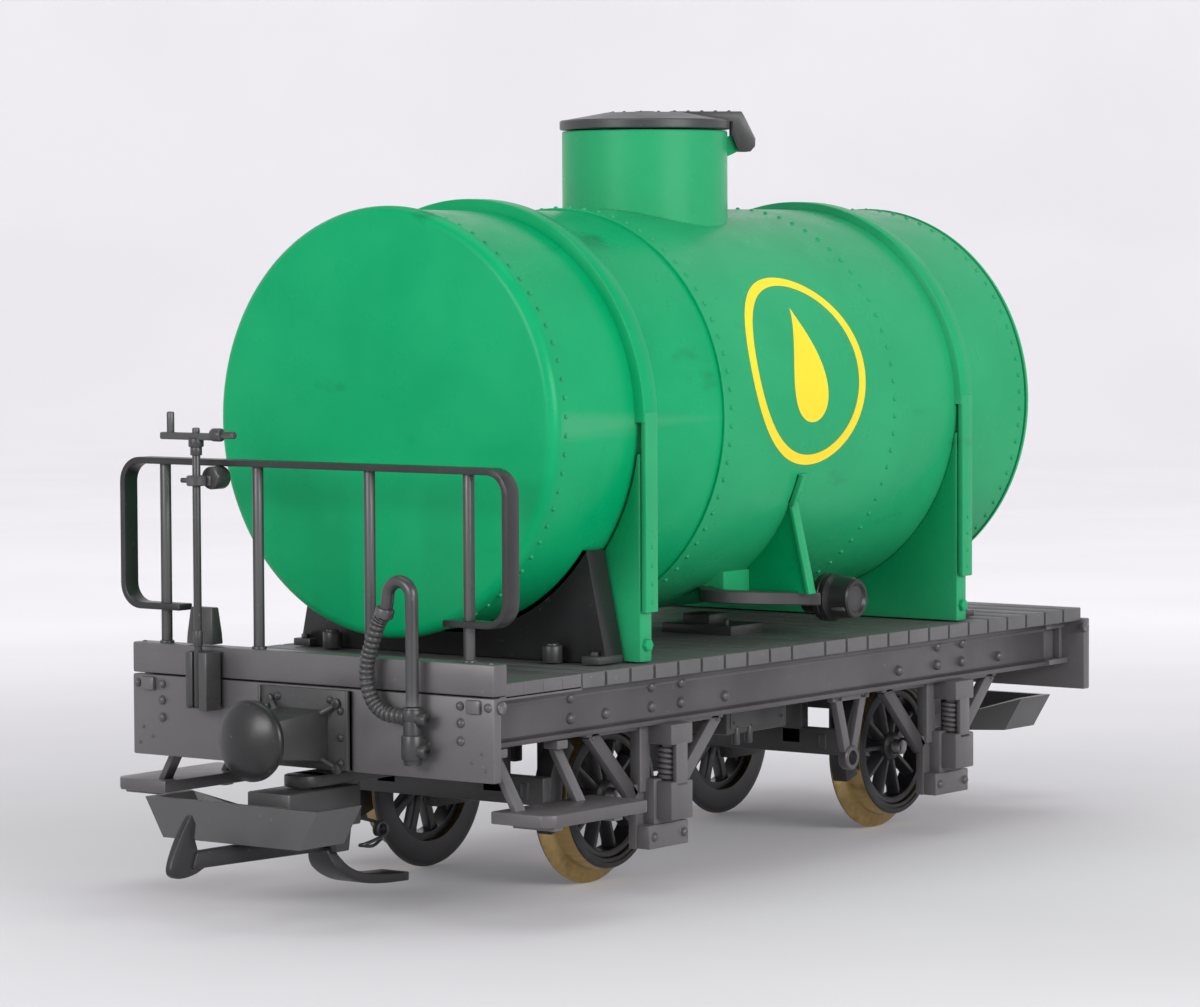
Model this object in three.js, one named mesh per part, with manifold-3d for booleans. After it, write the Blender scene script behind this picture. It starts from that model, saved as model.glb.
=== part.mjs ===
// Large-scale two-axle model tank wagon with a brakeman's platform, in millimetres, +Z up.
// The platform end points to -X. Each mesh is one piece of the model, as it comes apart on a bench.
import * as THREE from "three";
import { mergeVertices } from "three/addons/utils/BufferGeometryUtils.js";
import Module from "manifold-3d";

const wasm = await Module();
wasm.setup();

// ---------- driving dimensions ----------
// Heights are above the lowest point of the wheel flanges; X is 0 midway between the headstocks.
const GAP = 0.3; // clearance between two pieces that touch

// wheelsets
const TREAD_R = 15;
const FLANGE_R = 18;
const AXLE_Z = FLANGE_R;
const AXLE_R = 1.6;
const WHEEL_INNER_Y = 20;
const WHEEL_OUTER_Y = 26.5;
const FLANGE_WIDTH = 1.5;
const SPOKES = 10;
const AXLE_X = { front: -46.5, rear: 58.5 };

// underframe
const LENGTH = 217.5; // over the outer faces of the headstocks
const END_X = LENGTH / 2;
const HEADSTOCK = { halfWidth: 45.3, bottom: 27.7, top: 43.6, thickness: 2.4 };
const BEAM = { bottom: HEADSTOCK.top + GAP, top: 49.9, depth: 4.2 };
const SOLEBAR = { lip: 41.3, face: 39.8, inner: 37.2, bottom: 33.5, top: 42.6, flange: 1.2 };
const SOLEBAR_BOLT_Z = { low: 37.0, high: 41.0 };
const DECK = { bottom: SOLEBAR.top + GAP, slabTop: 44.4, top: 46.1, halfWidth: 44.6 };
const PLANK = { pitch: 7.95, gap: 0.6, widePlank: 9, wideFactor: 1.53, count: 23 };
const DECK_START_X = -80.2;

// axle guards, outside the wheels
const GUARD = { plate: 35.6, face: 37.5, boxFace: 43.8, keeperFace: 40.5 };

// swivelling axle carriers
const CARRIER = { plateInner: 13.6, plateOuter: 16.8, top: 33.2, roofBottom: 30.4 };
const TONGUE = { bottom: 24.4, top: 26.7, halfWidth: 4 };
const COUPLER_PIVOT_FROM_END = 1; // the coupler's pivot lies this far ahead of the headstock

// tank
const TANK_R = 42.1;
const TANK_WALL = 1.8;
const TANK_Z = 93.3;
const TANK_X = 1.3;
const TANK_LENGTH = 174.6;
const END_RIM = 2.4; // depth of each end cap's rim along the tank
const STRAP_OFFSET = 57.9; // each strap from the tank's middle
const STRAP = { width: 4.6, rise: 1.4, face: 44, end: 56.1 }; // its two ends hang down over the saddles
const SADDLE = { width: 3.8, face: 42.4 };
const CRADLE = { width: 5.8, footY: 39, topY: 34.2 };
const SEAM_X = -29.2;
const OUTLET = { x: 12.3, z: 54.4, flangeY: -39.7, endY: -46.4 };
const DOME = { x: 1.7, r: 17.4, wall: 1.8, floor: 137.6, top: 151.6 };
const LID = { r: 17.9, bottom: 151.9, rimTop: 153.9, top: 155.8, flatR: 8.4 };
const LID_PIVOT = { radius: 20.5, z: 149.4 };
const LID_BEARING = -Math.PI / 4; // direction of the lid's hinge arm, seen from above

// railing and hand brake
const RAIL = { x: -END_X + 2.1, halfDepth: 1.95, top: 86.5, thickness: 1.3, reach: 48.5, legZ: 57.8 };
const POST_Y = [-38, -14, 14, 38];
const POST_R = 1.1;
const BRAKE = { x: -END_X - 3.8, y: 24.6, r: 0.8, bottom: 38.2, top: 90.6 };

const SEGMENTS = { tank: 40, dome: 28, wheel: 28, arc: 4, small: 8 };

// ---------- solids ----------
// A closed geometry as a manifold solid.
function toSolid(geometry) {
  const bare = geometry.index ? geometry.toNonIndexed() : geometry.clone();
  bare.deleteAttribute("normal");
  bare.deleteAttribute("uv");
  const merged = mergeVertices(bare, 1e-4);
  const corners = merged.index.array;
  const triangles = [];
  for (let i = 0; i < corners.length; i += 3) {
    const [a, b, c] = [corners[i], corners[i + 1], corners[i + 2]];
    if (a !== b && b !== c && c !== a) triangles.push(a, b, c);
  }
  return new wasm.Manifold(
    new wasm.Mesh({
      numProp: 3,
      vertProperties: merged.attributes.position.array,
      triVerts: new Uint32Array(triangles),
    }),
  );
}

function toGeometry(solid) {
  const mesh = solid.getMesh();
  const positions = new Float32Array(mesh.numVert * 3);
  for (let i = 0; i < mesh.numVert; i++) {
    positions.set(mesh.vertProperties.subarray(i * mesh.numProp, i * mesh.numProp + 3), i * 3);
  }
  const geometry = new THREE.BufferGeometry();
  geometry.setAttribute("position", new THREE.BufferAttribute(positions, 3));
  geometry.setIndex(new THREE.BufferAttribute(mesh.triVerts, 1));
  geometry.computeVertexNormals();
  return geometry;
}

const join = (...solids) => solids.flat().reduce((sum, next) => sum.add(next));
const cut = (body, ...tools) => tools.flat().reduce((rest, tool) => rest.subtract(tool), body);

// An axis-aligned block between two opposite corners.
function block(x0, x1, y0, y1, z0, z1) {
  const geometry = new THREE.BoxGeometry(Math.abs(x1 - x0), Math.abs(y1 - y0), Math.abs(z1 - z0));
  geometry.translate((x0 + x1) / 2, (y0 + y1) / 2, (z0 + z1) / 2);
  return toSolid(geometry);
}

// A round bar from one point to another; endR gives it a taper.
function rod(from, to, r, sides = SEGMENTS.small, endR = r) {
  const start = new THREE.Vector3(...from);
  const end = new THREE.Vector3(...to);
  const span = end.clone().sub(start);
  const geometry = new THREE.CylinderGeometry(endR, r, span.length(), sides);
  geometry.applyQuaternion(
    new THREE.Quaternion().setFromUnitVectors(new THREE.Vector3(0, 1, 0), span.clone().normalize()),
  );
  const middle = start.add(end).multiplyScalar(0.5);
  return toSolid(geometry.translate(middle.x, middle.y, middle.z));
}

// Each frame sends an outline's (u, v) and its depth to wagon axes.
const FRAMES = {
  xy: new THREE.Matrix4(),
  xz: new THREE.Matrix4().makeBasis(
    new THREE.Vector3(1, 0, 0),
    new THREE.Vector3(0, 0, 1),
    new THREE.Vector3(0, -1, 0),
  ),
  yz: new THREE.Matrix4().makeBasis(
    new THREE.Vector3(0, 1, 0),
    new THREE.Vector3(0, 0, 1),
    new THREE.Vector3(1, 0, 0),
  ),
};

// A flat plate: an outline drawn in one plane, with holes, from one depth to another.
// In the xz plane depth counts towards -Y.
function plate(plane, outline, from, to, holes = []) {
  const drawn = outline instanceof THREE.Shape;
  const shape = drawn ? outline : new THREE.Shape(outline.map((p) => new THREE.Vector2(...p)));
  holes.forEach(([u, v, r]) => {
    const hole = new THREE.Path();
    hole.absarc(u, v, r, 0, 2 * Math.PI, true);
    shape.holes.push(hole);
  });
  const geometry = new THREE.ExtrudeGeometry(shape, {
    depth: to - from,
    bevelEnabled: false,
    curveSegments: SEGMENTS.arc,
  });
  geometry.translate(0, 0, from);
  return toSolid(geometry.applyMatrix4(FRAMES[plane]));
}

// A body of revolution about X, Y or Z; the profile lists [distance along the axis, radius].
function turned(axis, profile, sides) {
  const geometry = new THREE.LatheGeometry(profile.map(([along, r]) => new THREE.Vector2(r, along)), sides);
  if (axis === "x") geometry.rotateZ(-Math.PI / 2);
  if (axis === "z") geometry.rotateX(Math.PI / 2);
  return toSolid(geometry);
}

// A bar of round section swept along a smooth route through the given points.
function swept(points, r, steps, sides) {
  const section = new THREE.Shape();
  section.absarc(0, 0, r, 0, 2 * Math.PI);
  const route = new THREE.CatmullRomCurve3(points.map((p) => new THREE.Vector3(...p)));
  const geometry = new THREE.ExtrudeGeometry(section, {
    steps,
    curveSegments: sides,
    extrudePath: route,
  });
  return toSolid(geometry);
}

// A straight bar of flat section, drawn in the xz plane between two points.
function strut([x0, z0], [x1, z1], width, from, to) {
  const length = Math.hypot(x1 - x0, z1 - z0);
  const across = [(-(z1 - z0) / length) * (width / 2), ((x1 - x0) / length) * (width / 2)];
  const outline = [
    [x0 - across[0], z0 - across[1]],
    [x1 - across[0], z1 - across[1]],
    [x1 + across[0], z1 + across[1]],
    [x0 + across[0], z0 + across[1]],
  ];
  return plate("xz", outline, from, to);
}

// A block whose bottom and top outlines differ, both with the same number of corners.
function lofted(bottom, top, z0, z1) {
  const n = bottom.length;
  const positions = [
    ...bottom.flatMap(([x, y]) => [x, y, z0]),
    ...top.flatMap(([x, y]) => [x, y, z1]),
  ];
  const caps = THREE.ShapeUtils.triangulateShape(bottom.map((p) => new THREE.Vector2(...p)), []);
  const triangles = caps.flatMap(([a, b, c]) => [c, b, a, a + n, b + n, c + n]);
  for (let i = 0; i < n; i++) {
    const next = (i + 1) % n;
    triangles.push(i, next, next + n, i, next + n, i + n);
  }
  const geometry = new THREE.BufferGeometry();
  geometry.setAttribute("position", new THREE.Float32BufferAttribute(positions, 3));
  geometry.setIndex(triangles);
  return toSolid(geometry);
}

// A round bolt or rivet head that stands out of a face along X or Y.
function head(axis, [x, y, z], r, height, sides = 6) {
  const sunk = 0.4 * Math.sign(height);
  const [from, to] =
    axis === "x"
      ? [[x - sunk, y, z], [x + height, y, z]]
      : [[x, y - sunk, z], [x, y + height, z]];
  return rod(from, to, r, sides, r * 0.7);
}

// ---------- finishes ----------
const FINISHES = {
  tankGreen: { color: 0x00a664, roughness: 0.38, metalness: 0 },
  frameGrey: { color: 0x4a4648, roughness: 0.62, metalness: 0 },
  darkGrey: { color: 0x2f2e30, roughness: 0.55, metalness: 0 },
  wheelBlack: { color: 0x1d1c1e, roughness: 0.45, metalness: 0 },
  tyreBrass: { color: 0xb08a4a, roughness: 0.35, metalness: 0.9 },
  steel: { color: 0x8a8a8c, roughness: 0.35, metalness: 0.9 },
};

function piece(parent, name, solid, finish) {
  const mesh = new THREE.Mesh(toGeometry(solid), new THREE.MeshStandardMaterial(FINISHES[finish]));
  mesh.name = name;
  parent.add(mesh);
}

const wagon = new THREE.Group();

function placed(x, y, z, turn = 0) {
  const group = new THREE.Group();
  group.position.set(x, y, z);
  group.rotation.z = turn;
  wagon.add(group);
  return group;
}

// ---------- wheelsets ----------
// Built about the axle's centre, with the axle along Y.
function tyre(side) {
  const y = (distance) => side * distance;
  const bore = 12.7;
  const profile = [
    [y(WHEEL_INNER_Y), bore],
    [y(WHEEL_INNER_Y), FLANGE_R - 0.4],
    [y(WHEEL_INNER_Y + 0.6), FLANGE_R],
    [y(WHEEL_INNER_Y + FLANGE_WIDTH + 0.3), TREAD_R],
    [y(WHEEL_OUTER_Y), TREAD_R - 0.3],
    [y(WHEEL_OUTER_Y), bore],
    [y(WHEEL_INNER_Y), bore],
  ];
  return turned("y", side > 0 ? profile : profile.reverse(), SEGMENTS.wheel);
}

function wheelCentre(side) {
  const rim = { outer: 12.55, inner: 11.2 };
  const [inner, outer] = [side * (WHEEL_INNER_Y + 1.4), side * (WHEEL_OUTER_Y - 1)];
  const bar = ([from, to], r, sides) => rod([0, from, 0], [0, to, 0], r, sides);
  const ring = cut(
    bar([inner, outer], rim.outer, SEGMENTS.wheel),
    bar([inner - side, outer + side], rim.inner, SEGMENTS.wheel),
  );
  const hub = bar([side * (WHEEL_INNER_Y + 0.4), side * (WHEEL_OUTER_Y + 0.2)], 3.6, 12);
  const depth = [-side * (WHEEL_INNER_Y + 2.2), -side * (WHEEL_OUTER_Y - 1.6)].sort((a, b) => a - b);
  const spokes = Array.from({ length: SPOKES }, (_, i) => {
    const angle = (2 * Math.PI * i) / SPOKES;
    const reach = rim.inner + 0.5;
    return strut([0, 0], [reach * Math.cos(angle), reach * Math.sin(angle)], 1.3, ...depth);
  });
  const bore = bar([side * WHEEL_INNER_Y, side * (WHEEL_OUTER_Y + 1)], AXLE_R + 0.1, 10);
  return cut(join(ring, hub, spokes), bore);
}

function wheelset(end) {
  const group = placed(AXLE_X[end], 0, AXLE_Z);
  piece(group, `axle_${end}`, rod([0, -28, 0], [0, 28, 0], AXLE_R, 10), "steel");
  for (const [name, side] of [["near", -1], ["far", 1]]) {
    piece(group, `tyre_${end}_${name}`, tyre(side), "tyreBrass");
    piece(group, `wheel_centre_${end}_${name}`, wheelCentre(side), "wheelBlack");
  }
}

// ---------- axle carriers ----------
// An inner carrier holds each axle and swivels on a screw under the deck. It also carries the
// coupler's tongue and, on the -X side of its wheels, a brake beam with two blocks.
function axleCarrier(end) {
  const outward = end === "front" ? -1 : 1;
  const group = placed(AXLE_X[end], 0, 0);
  const reach = outward * (END_X + COUPLER_PIVOT_FROM_END) - AXLE_X[end];
  const { plateInner, plateOuter, top, roofBottom } = CARRIER;

  const cheeks = [-1, 1].map((side) =>
    plate(
      "xz",
      [[-6, 13.4], [6, 13.4], [8, 22], [8, top], [-8, top], [-8, 22]],
      ...(side < 0 ? [plateInner, plateOuter] : [-plateOuter, -plateInner]),
      [[0, AXLE_Z, AXLE_R + 0.15]],
    ),
  );
  const roof = block(-22.3, 9, -plateOuter, plateOuter, roofBottom, top);
  const boss = rod([0, 0, top - 1], [0, 0, DECK.bottom - GAP], 5, 20);
  const web = block(outward * 6.5, outward * 9, -9, 9, TONGUE.bottom, top);
  const tongue = join(
    block(outward * 7, reach, -TONGUE.halfWidth, TONGUE.halfWidth, TONGUE.bottom, TONGUE.top),
    rod([reach, 0, TONGUE.bottom], [reach, 0, TONGUE.top], TONGUE.halfWidth, 20),
  );

  const beam = block(-22.3, -19.3, -26.2, 26.2, 18, 23.6);
  const hangers = [-1, 1].map((side) => block(-22.3, -19.3, side * 11, side * 16, 20, top - 0.5));
  const shoes = [-1, 1].map((side) => brakeShoe(side));
  const kingpinHole = rod([0, 0, 20], [0, 0, 50], 1.95, 16);
  const solid = cut(join(roof, cheeks, boss, web, tongue, beam, hangers, shoes), kingpinHole);
  piece(group, `axle_carrier_${end}`, solid, "darkGrey");

  const kingpin = join(
    rod([0, 0, 28.4], [0, 0, roofBottom - 0.15], 3.4, 16),
    rod([0, 0, 28.6], [0, 0, DECK.bottom - GAP], 1.8, 16),
  );
  piece(group, `carrier_screw_${end}`, kingpin, "steel");
}

// A curved block that follows the wheel's tread just clear of it.
function brakeShoe(side) {
  const [innerR, outerR] = [TREAD_R + 1, TREAD_R + 5.6];
  const shape = new THREE.Shape();
  shape.absarc(0, AXLE_Z, outerR, THREE.MathUtils.degToRad(138), THREE.MathUtils.degToRad(197));
  shape.absarc(0, AXLE_Z, innerR, THREE.MathUtils.degToRad(197), THREE.MathUtils.degToRad(138), true);
  return plate("xz", shape, ...(side < 0 ? [22.4, 26.2] : [-26.2, -22.4]));
}

// ---------- couplers ----------
// Built about the coupler's upright pivot with the loop towards -X.
const COUPLER_BOLT_R = 1.7;
const HOOK_PIVOT = { x: 6, z: 13.4, r: 0.9 };

function couplerLoop() {
  const flare = 4.5; // the loop is this much wider at the top, each side
  const outline = (side) => [
    [-21.7, -21.5 + side],
    [-8.8, -21.5 + side],
    [-2, -6],
    [-2, 6],
    [-8.8, 21.5 - side],
    [-21.7, 21.5 - side],
  ];
  const inside = (side) => [
    [-20.2, -20 + side],
    [-9.6, -20 + side],
    [-4.6, -6.5],
    [-4.6, 6.5],
    [-9.6, 20 - side],
    [-20.2, 20 - side],
  ];
  const [bottom, top] = [15.6, 23.1];
  const grown = (points, factor) => points.map(([x, y]) => [x, y * factor]);
  const ring = cut(
    lofted(outline(flare), outline(0), bottom, top),
    lofted(grown(inside(flare), 0.992), grown(inside(0), 1.008), bottom - 0.1, top + 0.1),
  );
  const shank = join(
    block(-10.4, 10.4, -5, 5, 16.2, TONGUE.bottom - GAP),
    block(-14.5, -9, -5, 5, 18.2, TONGUE.bottom - GAP),
  );
  const boltHole = rod([0, 0, 10], [0, 0, 30], COUPLER_BOLT_R + 0.2, 16);
  const counterbore = rod([0, 0, 10], [0, 0, 18.4], 3.5, 16);
  const ears = [-1, 1].map((side) =>
    plate(
      "xz",
      [[3.2, 17], [4.2, 11.4], [7.8, 11.4], [8.8, 17]],
      ...(side < 0 ? [2.6, 4.4] : [-4.4, -2.6]),
      [[HOOK_PIVOT.x, HOOK_PIVOT.z, HOOK_PIVOT.r + 0.12]],
    ),
  );
  return join(cut(join(ring, shank), boltHole, counterbore), ears);
}

function couplerHook() {
  const fin = plate(
    "xz",
    [
      [-31.2, 22.2],
      [-32.6, 22],
      [-35.2, 18.6],
      [-37.8, 14.4],
      [-39.2, 11.6],
      [-38.4, 10.4],
      [-34, 10.8],
      [-30, 10.8],
      [3, 11.2],
      [7.6, 11.6],
      [8.2, 13.4],
      [6, 15.2],
      [1, 14.2],
      [-29.6, 14],
      [-31.4, 16],
    ],
    -1.5,
    1.5,
  );
  const runner = plate(
    "xz",
    [
      [4.2, 12.4],
      [7.2, 7.6],
      [11, 4.7],
      [16.2, 3.4],
      [28.5, 3.2],
      [28.5, 4.6],
      [16.6, 4.9],
      [12, 6.2],
      [9, 8.6],
      [7.4, 12.4],
    ],
    -2.2,
    2.2,
  );
  const trunnion = rod([HOOK_PIVOT.x, -4.3, HOOK_PIVOT.z], [HOOK_PIVOT.x, 4.3, HOOK_PIVOT.z], HOOK_PIVOT.r);
  return join(fin, runner, trunnion);
}

function coupler(end) {
  const outward = end === "front" ? -1 : 1;
  const group = placed(outward * (END_X + COUPLER_PIVOT_FROM_END), 0, 0, end === "front" ? 0 : Math.PI);
  piece(group, `coupler_${end}`, couplerLoop(), "frameGrey");
  const bolt = join(
    rod([0, 0, 16.5], [0, 0, 18.25], 3.2, 16),
    rod([0, 0, 16.6], [0, 0, TONGUE.bottom - 0.1], COUPLER_BOLT_R, 16),
  );
  piece(group, `coupler_screw_${end}`, bolt, "steel");
  if (end === "front") piece(group, "coupler_hook", couplerHook(), "frameGrey");
}

// ---------- underframe ----------
function solebar(side) {
  const start = -END_X + HEADSTOCK.thickness + GAP;
  const end = END_X - HEADSTOCK.thickness - GAP;
  const { lip, face, inner, bottom, top, flange } = SOLEBAR;
  const bar = (x0, x1, y0, y1, z0, z1) => block(x0, x1, side * y0, side * y1, z0, z1);
  const web = bar(start, end, inner, face, bottom, top);
  const flanges = [
    bar(start, end, inner, lip, bottom, bottom + flange),
    bar(start, end, inner, face + 0.7, top - flange * 0.7, top),
  ];
  const recess = bar(end - 8, end - 1.2, inner + 1, lip + 1, bottom + flange, top - flange);
  const heads = Object.values(AXLE_X).flatMap((x) => [
    ...[-20.2, 20.2].map((dx) => [x + dx, SOLEBAR_BOLT_Z.low]),
    ...[-5, 5].flatMap((dx) => [[x + dx, SOLEBAR_BOLT_Z.low], [x + dx, SOLEBAR_BOLT_Z.high]]),
  ]);
  heads.push([-78, SOLEBAR_BOLT_Z.low], [-78, SOLEBAR_BOLT_Z.high]);
  const bolts = heads.map(([x, z]) => head("y", [x, side * face, z], 1, side * 0.8));
  return join(cut(join(web, flanges), recess), bolts);
}

function headstock(end) {
  const outward = end === "front" ? -1 : 1;
  const { halfWidth, bottom, top, thickness } = HEADSTOCK;
  const face = outward * END_X;
  const strap = { inner: 36.6, bottom: 40.3, top: 43.3, rise: 0.7, wrap: 6 };
  const slab = block(face, face - outward * thickness, -halfWidth, halfWidth, bottom, top);
  const rivets = [-1, 1].flatMap((side) =>
    [38.7, 35.3].map((z) => head("x", [face, side * 37.5, z], 0.8, outward * 0.7)),
  );
  // A flat strap wraps each top corner.
  const straps = [-1, 1].flatMap((side) => {
    const proud = face + outward * strap.rise;
    const flank = side * (halfWidth + strap.rise);
    return [
      block(proud, face - outward, side * strap.inner, flank, strap.bottom, strap.top),
      block(proud, face - outward * strap.wrap, flank, side * (halfWidth - 0.5), strap.bottom, strap.top),
      block(face, face + outward * 1.6, side * 39.8, side * 41.4, 41, 42.6),
      head("x", [proud, side * 37.8, 41.8], 0.75, outward * 0.6),
      head("y", [face - outward * 3.5, flank, 41.8], 0.9, side * 0.9),
    ];
  });
  return join(slab, rivets, straps);
}

function platformBeam() {
  const { halfWidth } = HEADSTOCK;
  const beam = block(-END_X, -END_X + BEAM.depth, -halfWidth, halfWidth, BEAM.bottom, BEAM.top);
  const socket = (y) => rod([RAIL.x, y, BEAM.top - 2.5], [RAIL.x, y, BEAM.top + 1], POST_R + 0.15, 12);
  return cut(beam, POST_Y.map(socket));
}

function platformFloor() {
  const start = -END_X + HEADSTOCK.thickness + GAP;
  const floor = block(start, DECK_START_X - GAP, -DECK.halfWidth, DECK.halfWidth, DECK.bottom, DECK.top);
  const underBeam = block(start - 1, -END_X + BEAM.depth + GAP, -50, 50, BEAM.bottom - GAP, BEAM.top);
  return cut(floor, underBeam);
}

function plankDeck() {
  const { bottom, slabTop, top, halfWidth } = DECK;
  const planks = [];
  let x = DECK_START_X;
  for (let i = 0; i < PLANK.count; i++) {
    const pitch = PLANK.pitch * (i === PLANK.widePlank ? PLANK.wideFactor : 1);
    planks.push([x, x + pitch - PLANK.gap]);
    x += pitch;
  }
  const end = x - PLANK.gap;
  const slab = block(DECK_START_X, end, -halfWidth + 1.6, halfWidth - 1.6, bottom, slabTop);
  const boards = planks.map(([x0, x1]) => block(x0, x1, -halfWidth, halfWidth, bottom + GAP, top));
  return join(slab, boards);
}

// One outside axle guard: a plate with two struts, guides, a coil spring, the axlebox and its keeper.
function axleGuard(end, side) {
  const group = placed(AXLE_X[end], 0, 0);
  const top = SOLEBAR.bottom - GAP;
  const depth = (inner, outer) => (side < 0 ? [inner, outer] : [-outer, -inner]);
  const bar = (x0, x1, y0, y1, z0, z1) => block(x0, x1, side * y0, side * y1, z0, z1);
  const { plate: back, face, boxFace, keeperFace } = GUARD;

  const struts = [-1, 1].map((dir) => strut([dir * 21.3, top - 0.8], [dir * 7, 19], 3, ...depth(back, face)));
  const solid = join(
    plate("xz", [[-7, 8.8], [7, 8.8], [7, 19], [8.2, 21.6], [-8.2, 21.6], [-7, 19]], ...depth(back, face)),
    struts,
    bar(-23, 23, back, face, top - 1.2, top),
    bar(-6.4, -3, back, face + 0.6, 20, top),
    bar(3, 6.4, back, face + 0.6, 20, top),
    bar(-3.6, 3.6, face - 1, boxFace, 29.4, top),
    bar(-1.9, 1.9, boxFace - 1.1, boxFace, 21, 30),
    bar(-3.6, 3.6, face - 1, boxFace, 14.5, 22.1),
    bar(-6.6, 6.6, face - 1, keeperFace, 8.8, 13.6),
    bar(-4.4, 4.4, face - 1, keeperFace - 0.4, 13, 22.6),
    guardSpring(side),
    [-5, 5].map((dx) => head("y", [dx, side * keeperFace, 11.2], 0.85, side * 0.7)),
  );
  piece(group, `axle_guard_${end}_${side < 0 ? "near" : "far"}`, solid, "frameGrey");
}

// The guard's coil spring, a ribbed column in the one-piece moulding.
function guardSpring(side) {
  const coils = 5;
  const [bottom, top] = [22, 30];
  const pitch = (top - bottom) / coils;
  const profile = [[bottom, 0]];
  for (let i = 0; i < coils; i++) {
    profile.push([bottom + i * pitch, 1.8], [bottom + (i + 0.5) * pitch, 2.4]);
  }
  profile.push([top, 1.8], [top, 0]);
  return turned("z", profile, 8).translate([0, side * 40.3, 0]);
}

function buffer(end) {
  const outward = end === "front" ? -1 : 1;
  const group = placed(outward * END_X, 0, 0, end === "front" ? 0 : Math.PI);
  const z = 34.5;
  const base = { half: 11.3, bottom: 28, top: 43.3, thickness: 1.2 };
  const square = (half, tall) => [[-half, -tall], [half, -tall], [half, tall], [-half, tall]];
  const housing = lofted(square(6, 4.9), square(4.2, 3.6), 0, 15.6).transform(uprightToOutward(-0.6, z));
  const basePlate = block(-base.thickness, -GAP, -base.half, base.half, base.bottom, base.top);
  const ridges = [-base.half, base.half - 0.6].map((y) =>
    block(-base.thickness - 0.5, -GAP, y, y + 0.6, base.bottom, base.top),
  );
  const discProfile = [
    [-19.4, 0],
    [-18.9, 3.8],
    [-17.6, 7.1],
    [-16.9, 7.8],
    [-15.7, 7.6],
    [-15, 5.4],
    [-15, 0],
  ];
  const disc = turned("x", discProfile, 24).translate([0, 0, z]);
  const rivets = [
    [9.2, 41.6],
    [6.6, 38.6],
    [9.2, 34.3],
    [9.2, 29.4],
    [-9.2, 39.4],
    [-9.2, 34.3],
    [-9.2, 29.4],
  ];
  const heads = rivets.map(([y, height]) => head("x", [-base.thickness, y, height], 0.75, -0.6));
  piece(group, `buffer_${end}`, join(basePlate, ridges, housing, disc, heads), "frameGrey");
}

// Lays a block that was built upwards along Z so that it points to -X, at height z.
function uprightToOutward(x, z) {
  const turn = new THREE.Matrix4().makeRotationY(-Math.PI / 2);
  return new THREE.Matrix4().makeTranslation(x, 0, z).multiply(turn).toArray();
}

// A footboard hung from the solebar by two sloping straps.
function footboard(side) {
  const board = { start: -104.4, end: -73.1, inner: 41, outer: 55, top: 21.9, thickness: 2.4, corner: 2 };
  const outline = [
    [board.start, board.inner],
    [board.end, board.inner],
    [board.end, board.outer],
    [board.start + board.corner, board.outer],
    [board.start, board.outer - board.corner],
  ].map(([x, y]) => [x, side * y]);
  const tread = plate("xy", side > 0 ? outline : outline.reverse(), board.top - board.thickness, board.top);
  const upper = SOLEBAR.bottom - GAP;
  const lower = board.top - 0.6;
  const profile = [
    [38.4, upper],
    [37.2, upper],
    [44.2, lower],
    [45.6, lower],
  ].map(([y, z]) => [side * y, z]);
  const hanger = (x) => [
    plate("yz", profile, x - 1.4, x + 1.4),
    block(x - 1.7, x + 1.7, side * 37.4, side * 40.8, upper - 1.7, upper),
  ];
  return join(tread, [-100.4, -81.6].flatMap(hanger));
}

function vHanger(side) {
  const depth = side < 0 ? [35.8, 37.4] : [-37.4, -35.8];
  const eye = { x: 23.6, z: 19.6, r: 2.6 };
  const top = SOLEBAR.bottom - GAP;
  const solid = join(
    strut([eye.x - 4.6, top - 0.6], [eye.x - 0.6, eye.z + 1], 2.4, ...depth),
    strut([eye.x + 4.6, top - 0.6], [eye.x + 0.6, eye.z + 1], 2.4, ...depth),
    block(eye.x - 7, eye.x + 7, side * 35.8, side * 37.4, top - 1.2, top),
    rod([eye.x, side * 35.6, eye.z], [eye.x, side * 37.8, eye.z], eye.r, 20),
  );
  const hole = rod([eye.x, side * 30, eye.z], [eye.x, side * 40, eye.z], 1.5, 16);
  return cut(solid, hole);
}

function underfloorBox() {
  const top = DECK.bottom - GAP;
  return join(
    block(-7.3, 14.7, -27, -9, 26.4, 38),
    block(0, 8, -22, -14, 37.5, top),
    [-4.4, 0.2].map((x) => block(x, x + 1.6, -27.6, -26, 24.2, 28)),
  );
}

// ---------- platform railing and hand brake ----------
function endRailing() {
  const { x, halfDepth, top, thickness, reach, legZ } = RAIL;
  const corner = 5;
  const foot = 33;
  const strip = new THREE.Shape();
  const path = (offset, reverse) => {
    const [side, high, low, r] = [reach - offset, top - offset, legZ - thickness + offset, corner - offset];
    const arc = (y, z, from, to) => {
      const points = new THREE.Path().absarc(y, z, r, from, to, to < from).getPoints(4);
      return points.map((p) => [p.x, p.y]);
    };
    const points = [
      [foot, low],
      ...arc(side - r, low + r, -Math.PI / 2, 0),
      ...arc(side - r, high - r, 0, Math.PI / 2),
      ...arc(-side + r, high - r, Math.PI / 2, Math.PI),
      ...arc(-side + r, low + r, Math.PI, 1.5 * Math.PI),
      [-foot, low],
    ];
    return reverse ? points.reverse() : points;
  };
  strip.setFromPoints([...path(0, false), ...path(thickness, true)].map((p) => new THREE.Vector2(...p)));
  const posts = POST_Y.map((y) => rod([x, y, BEAM.top - 2.2], [x, y, top - 0.4], POST_R, 10));
  return join(plate("yz", strip, x - halfDepth, x + halfDepth), posts);
}

function brakeSpindle() {
  const { x, y, r, bottom, top } = BRAKE;
  return rod([x, y, bottom], [x, y, top - 1.2], r, 12);
}

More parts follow.
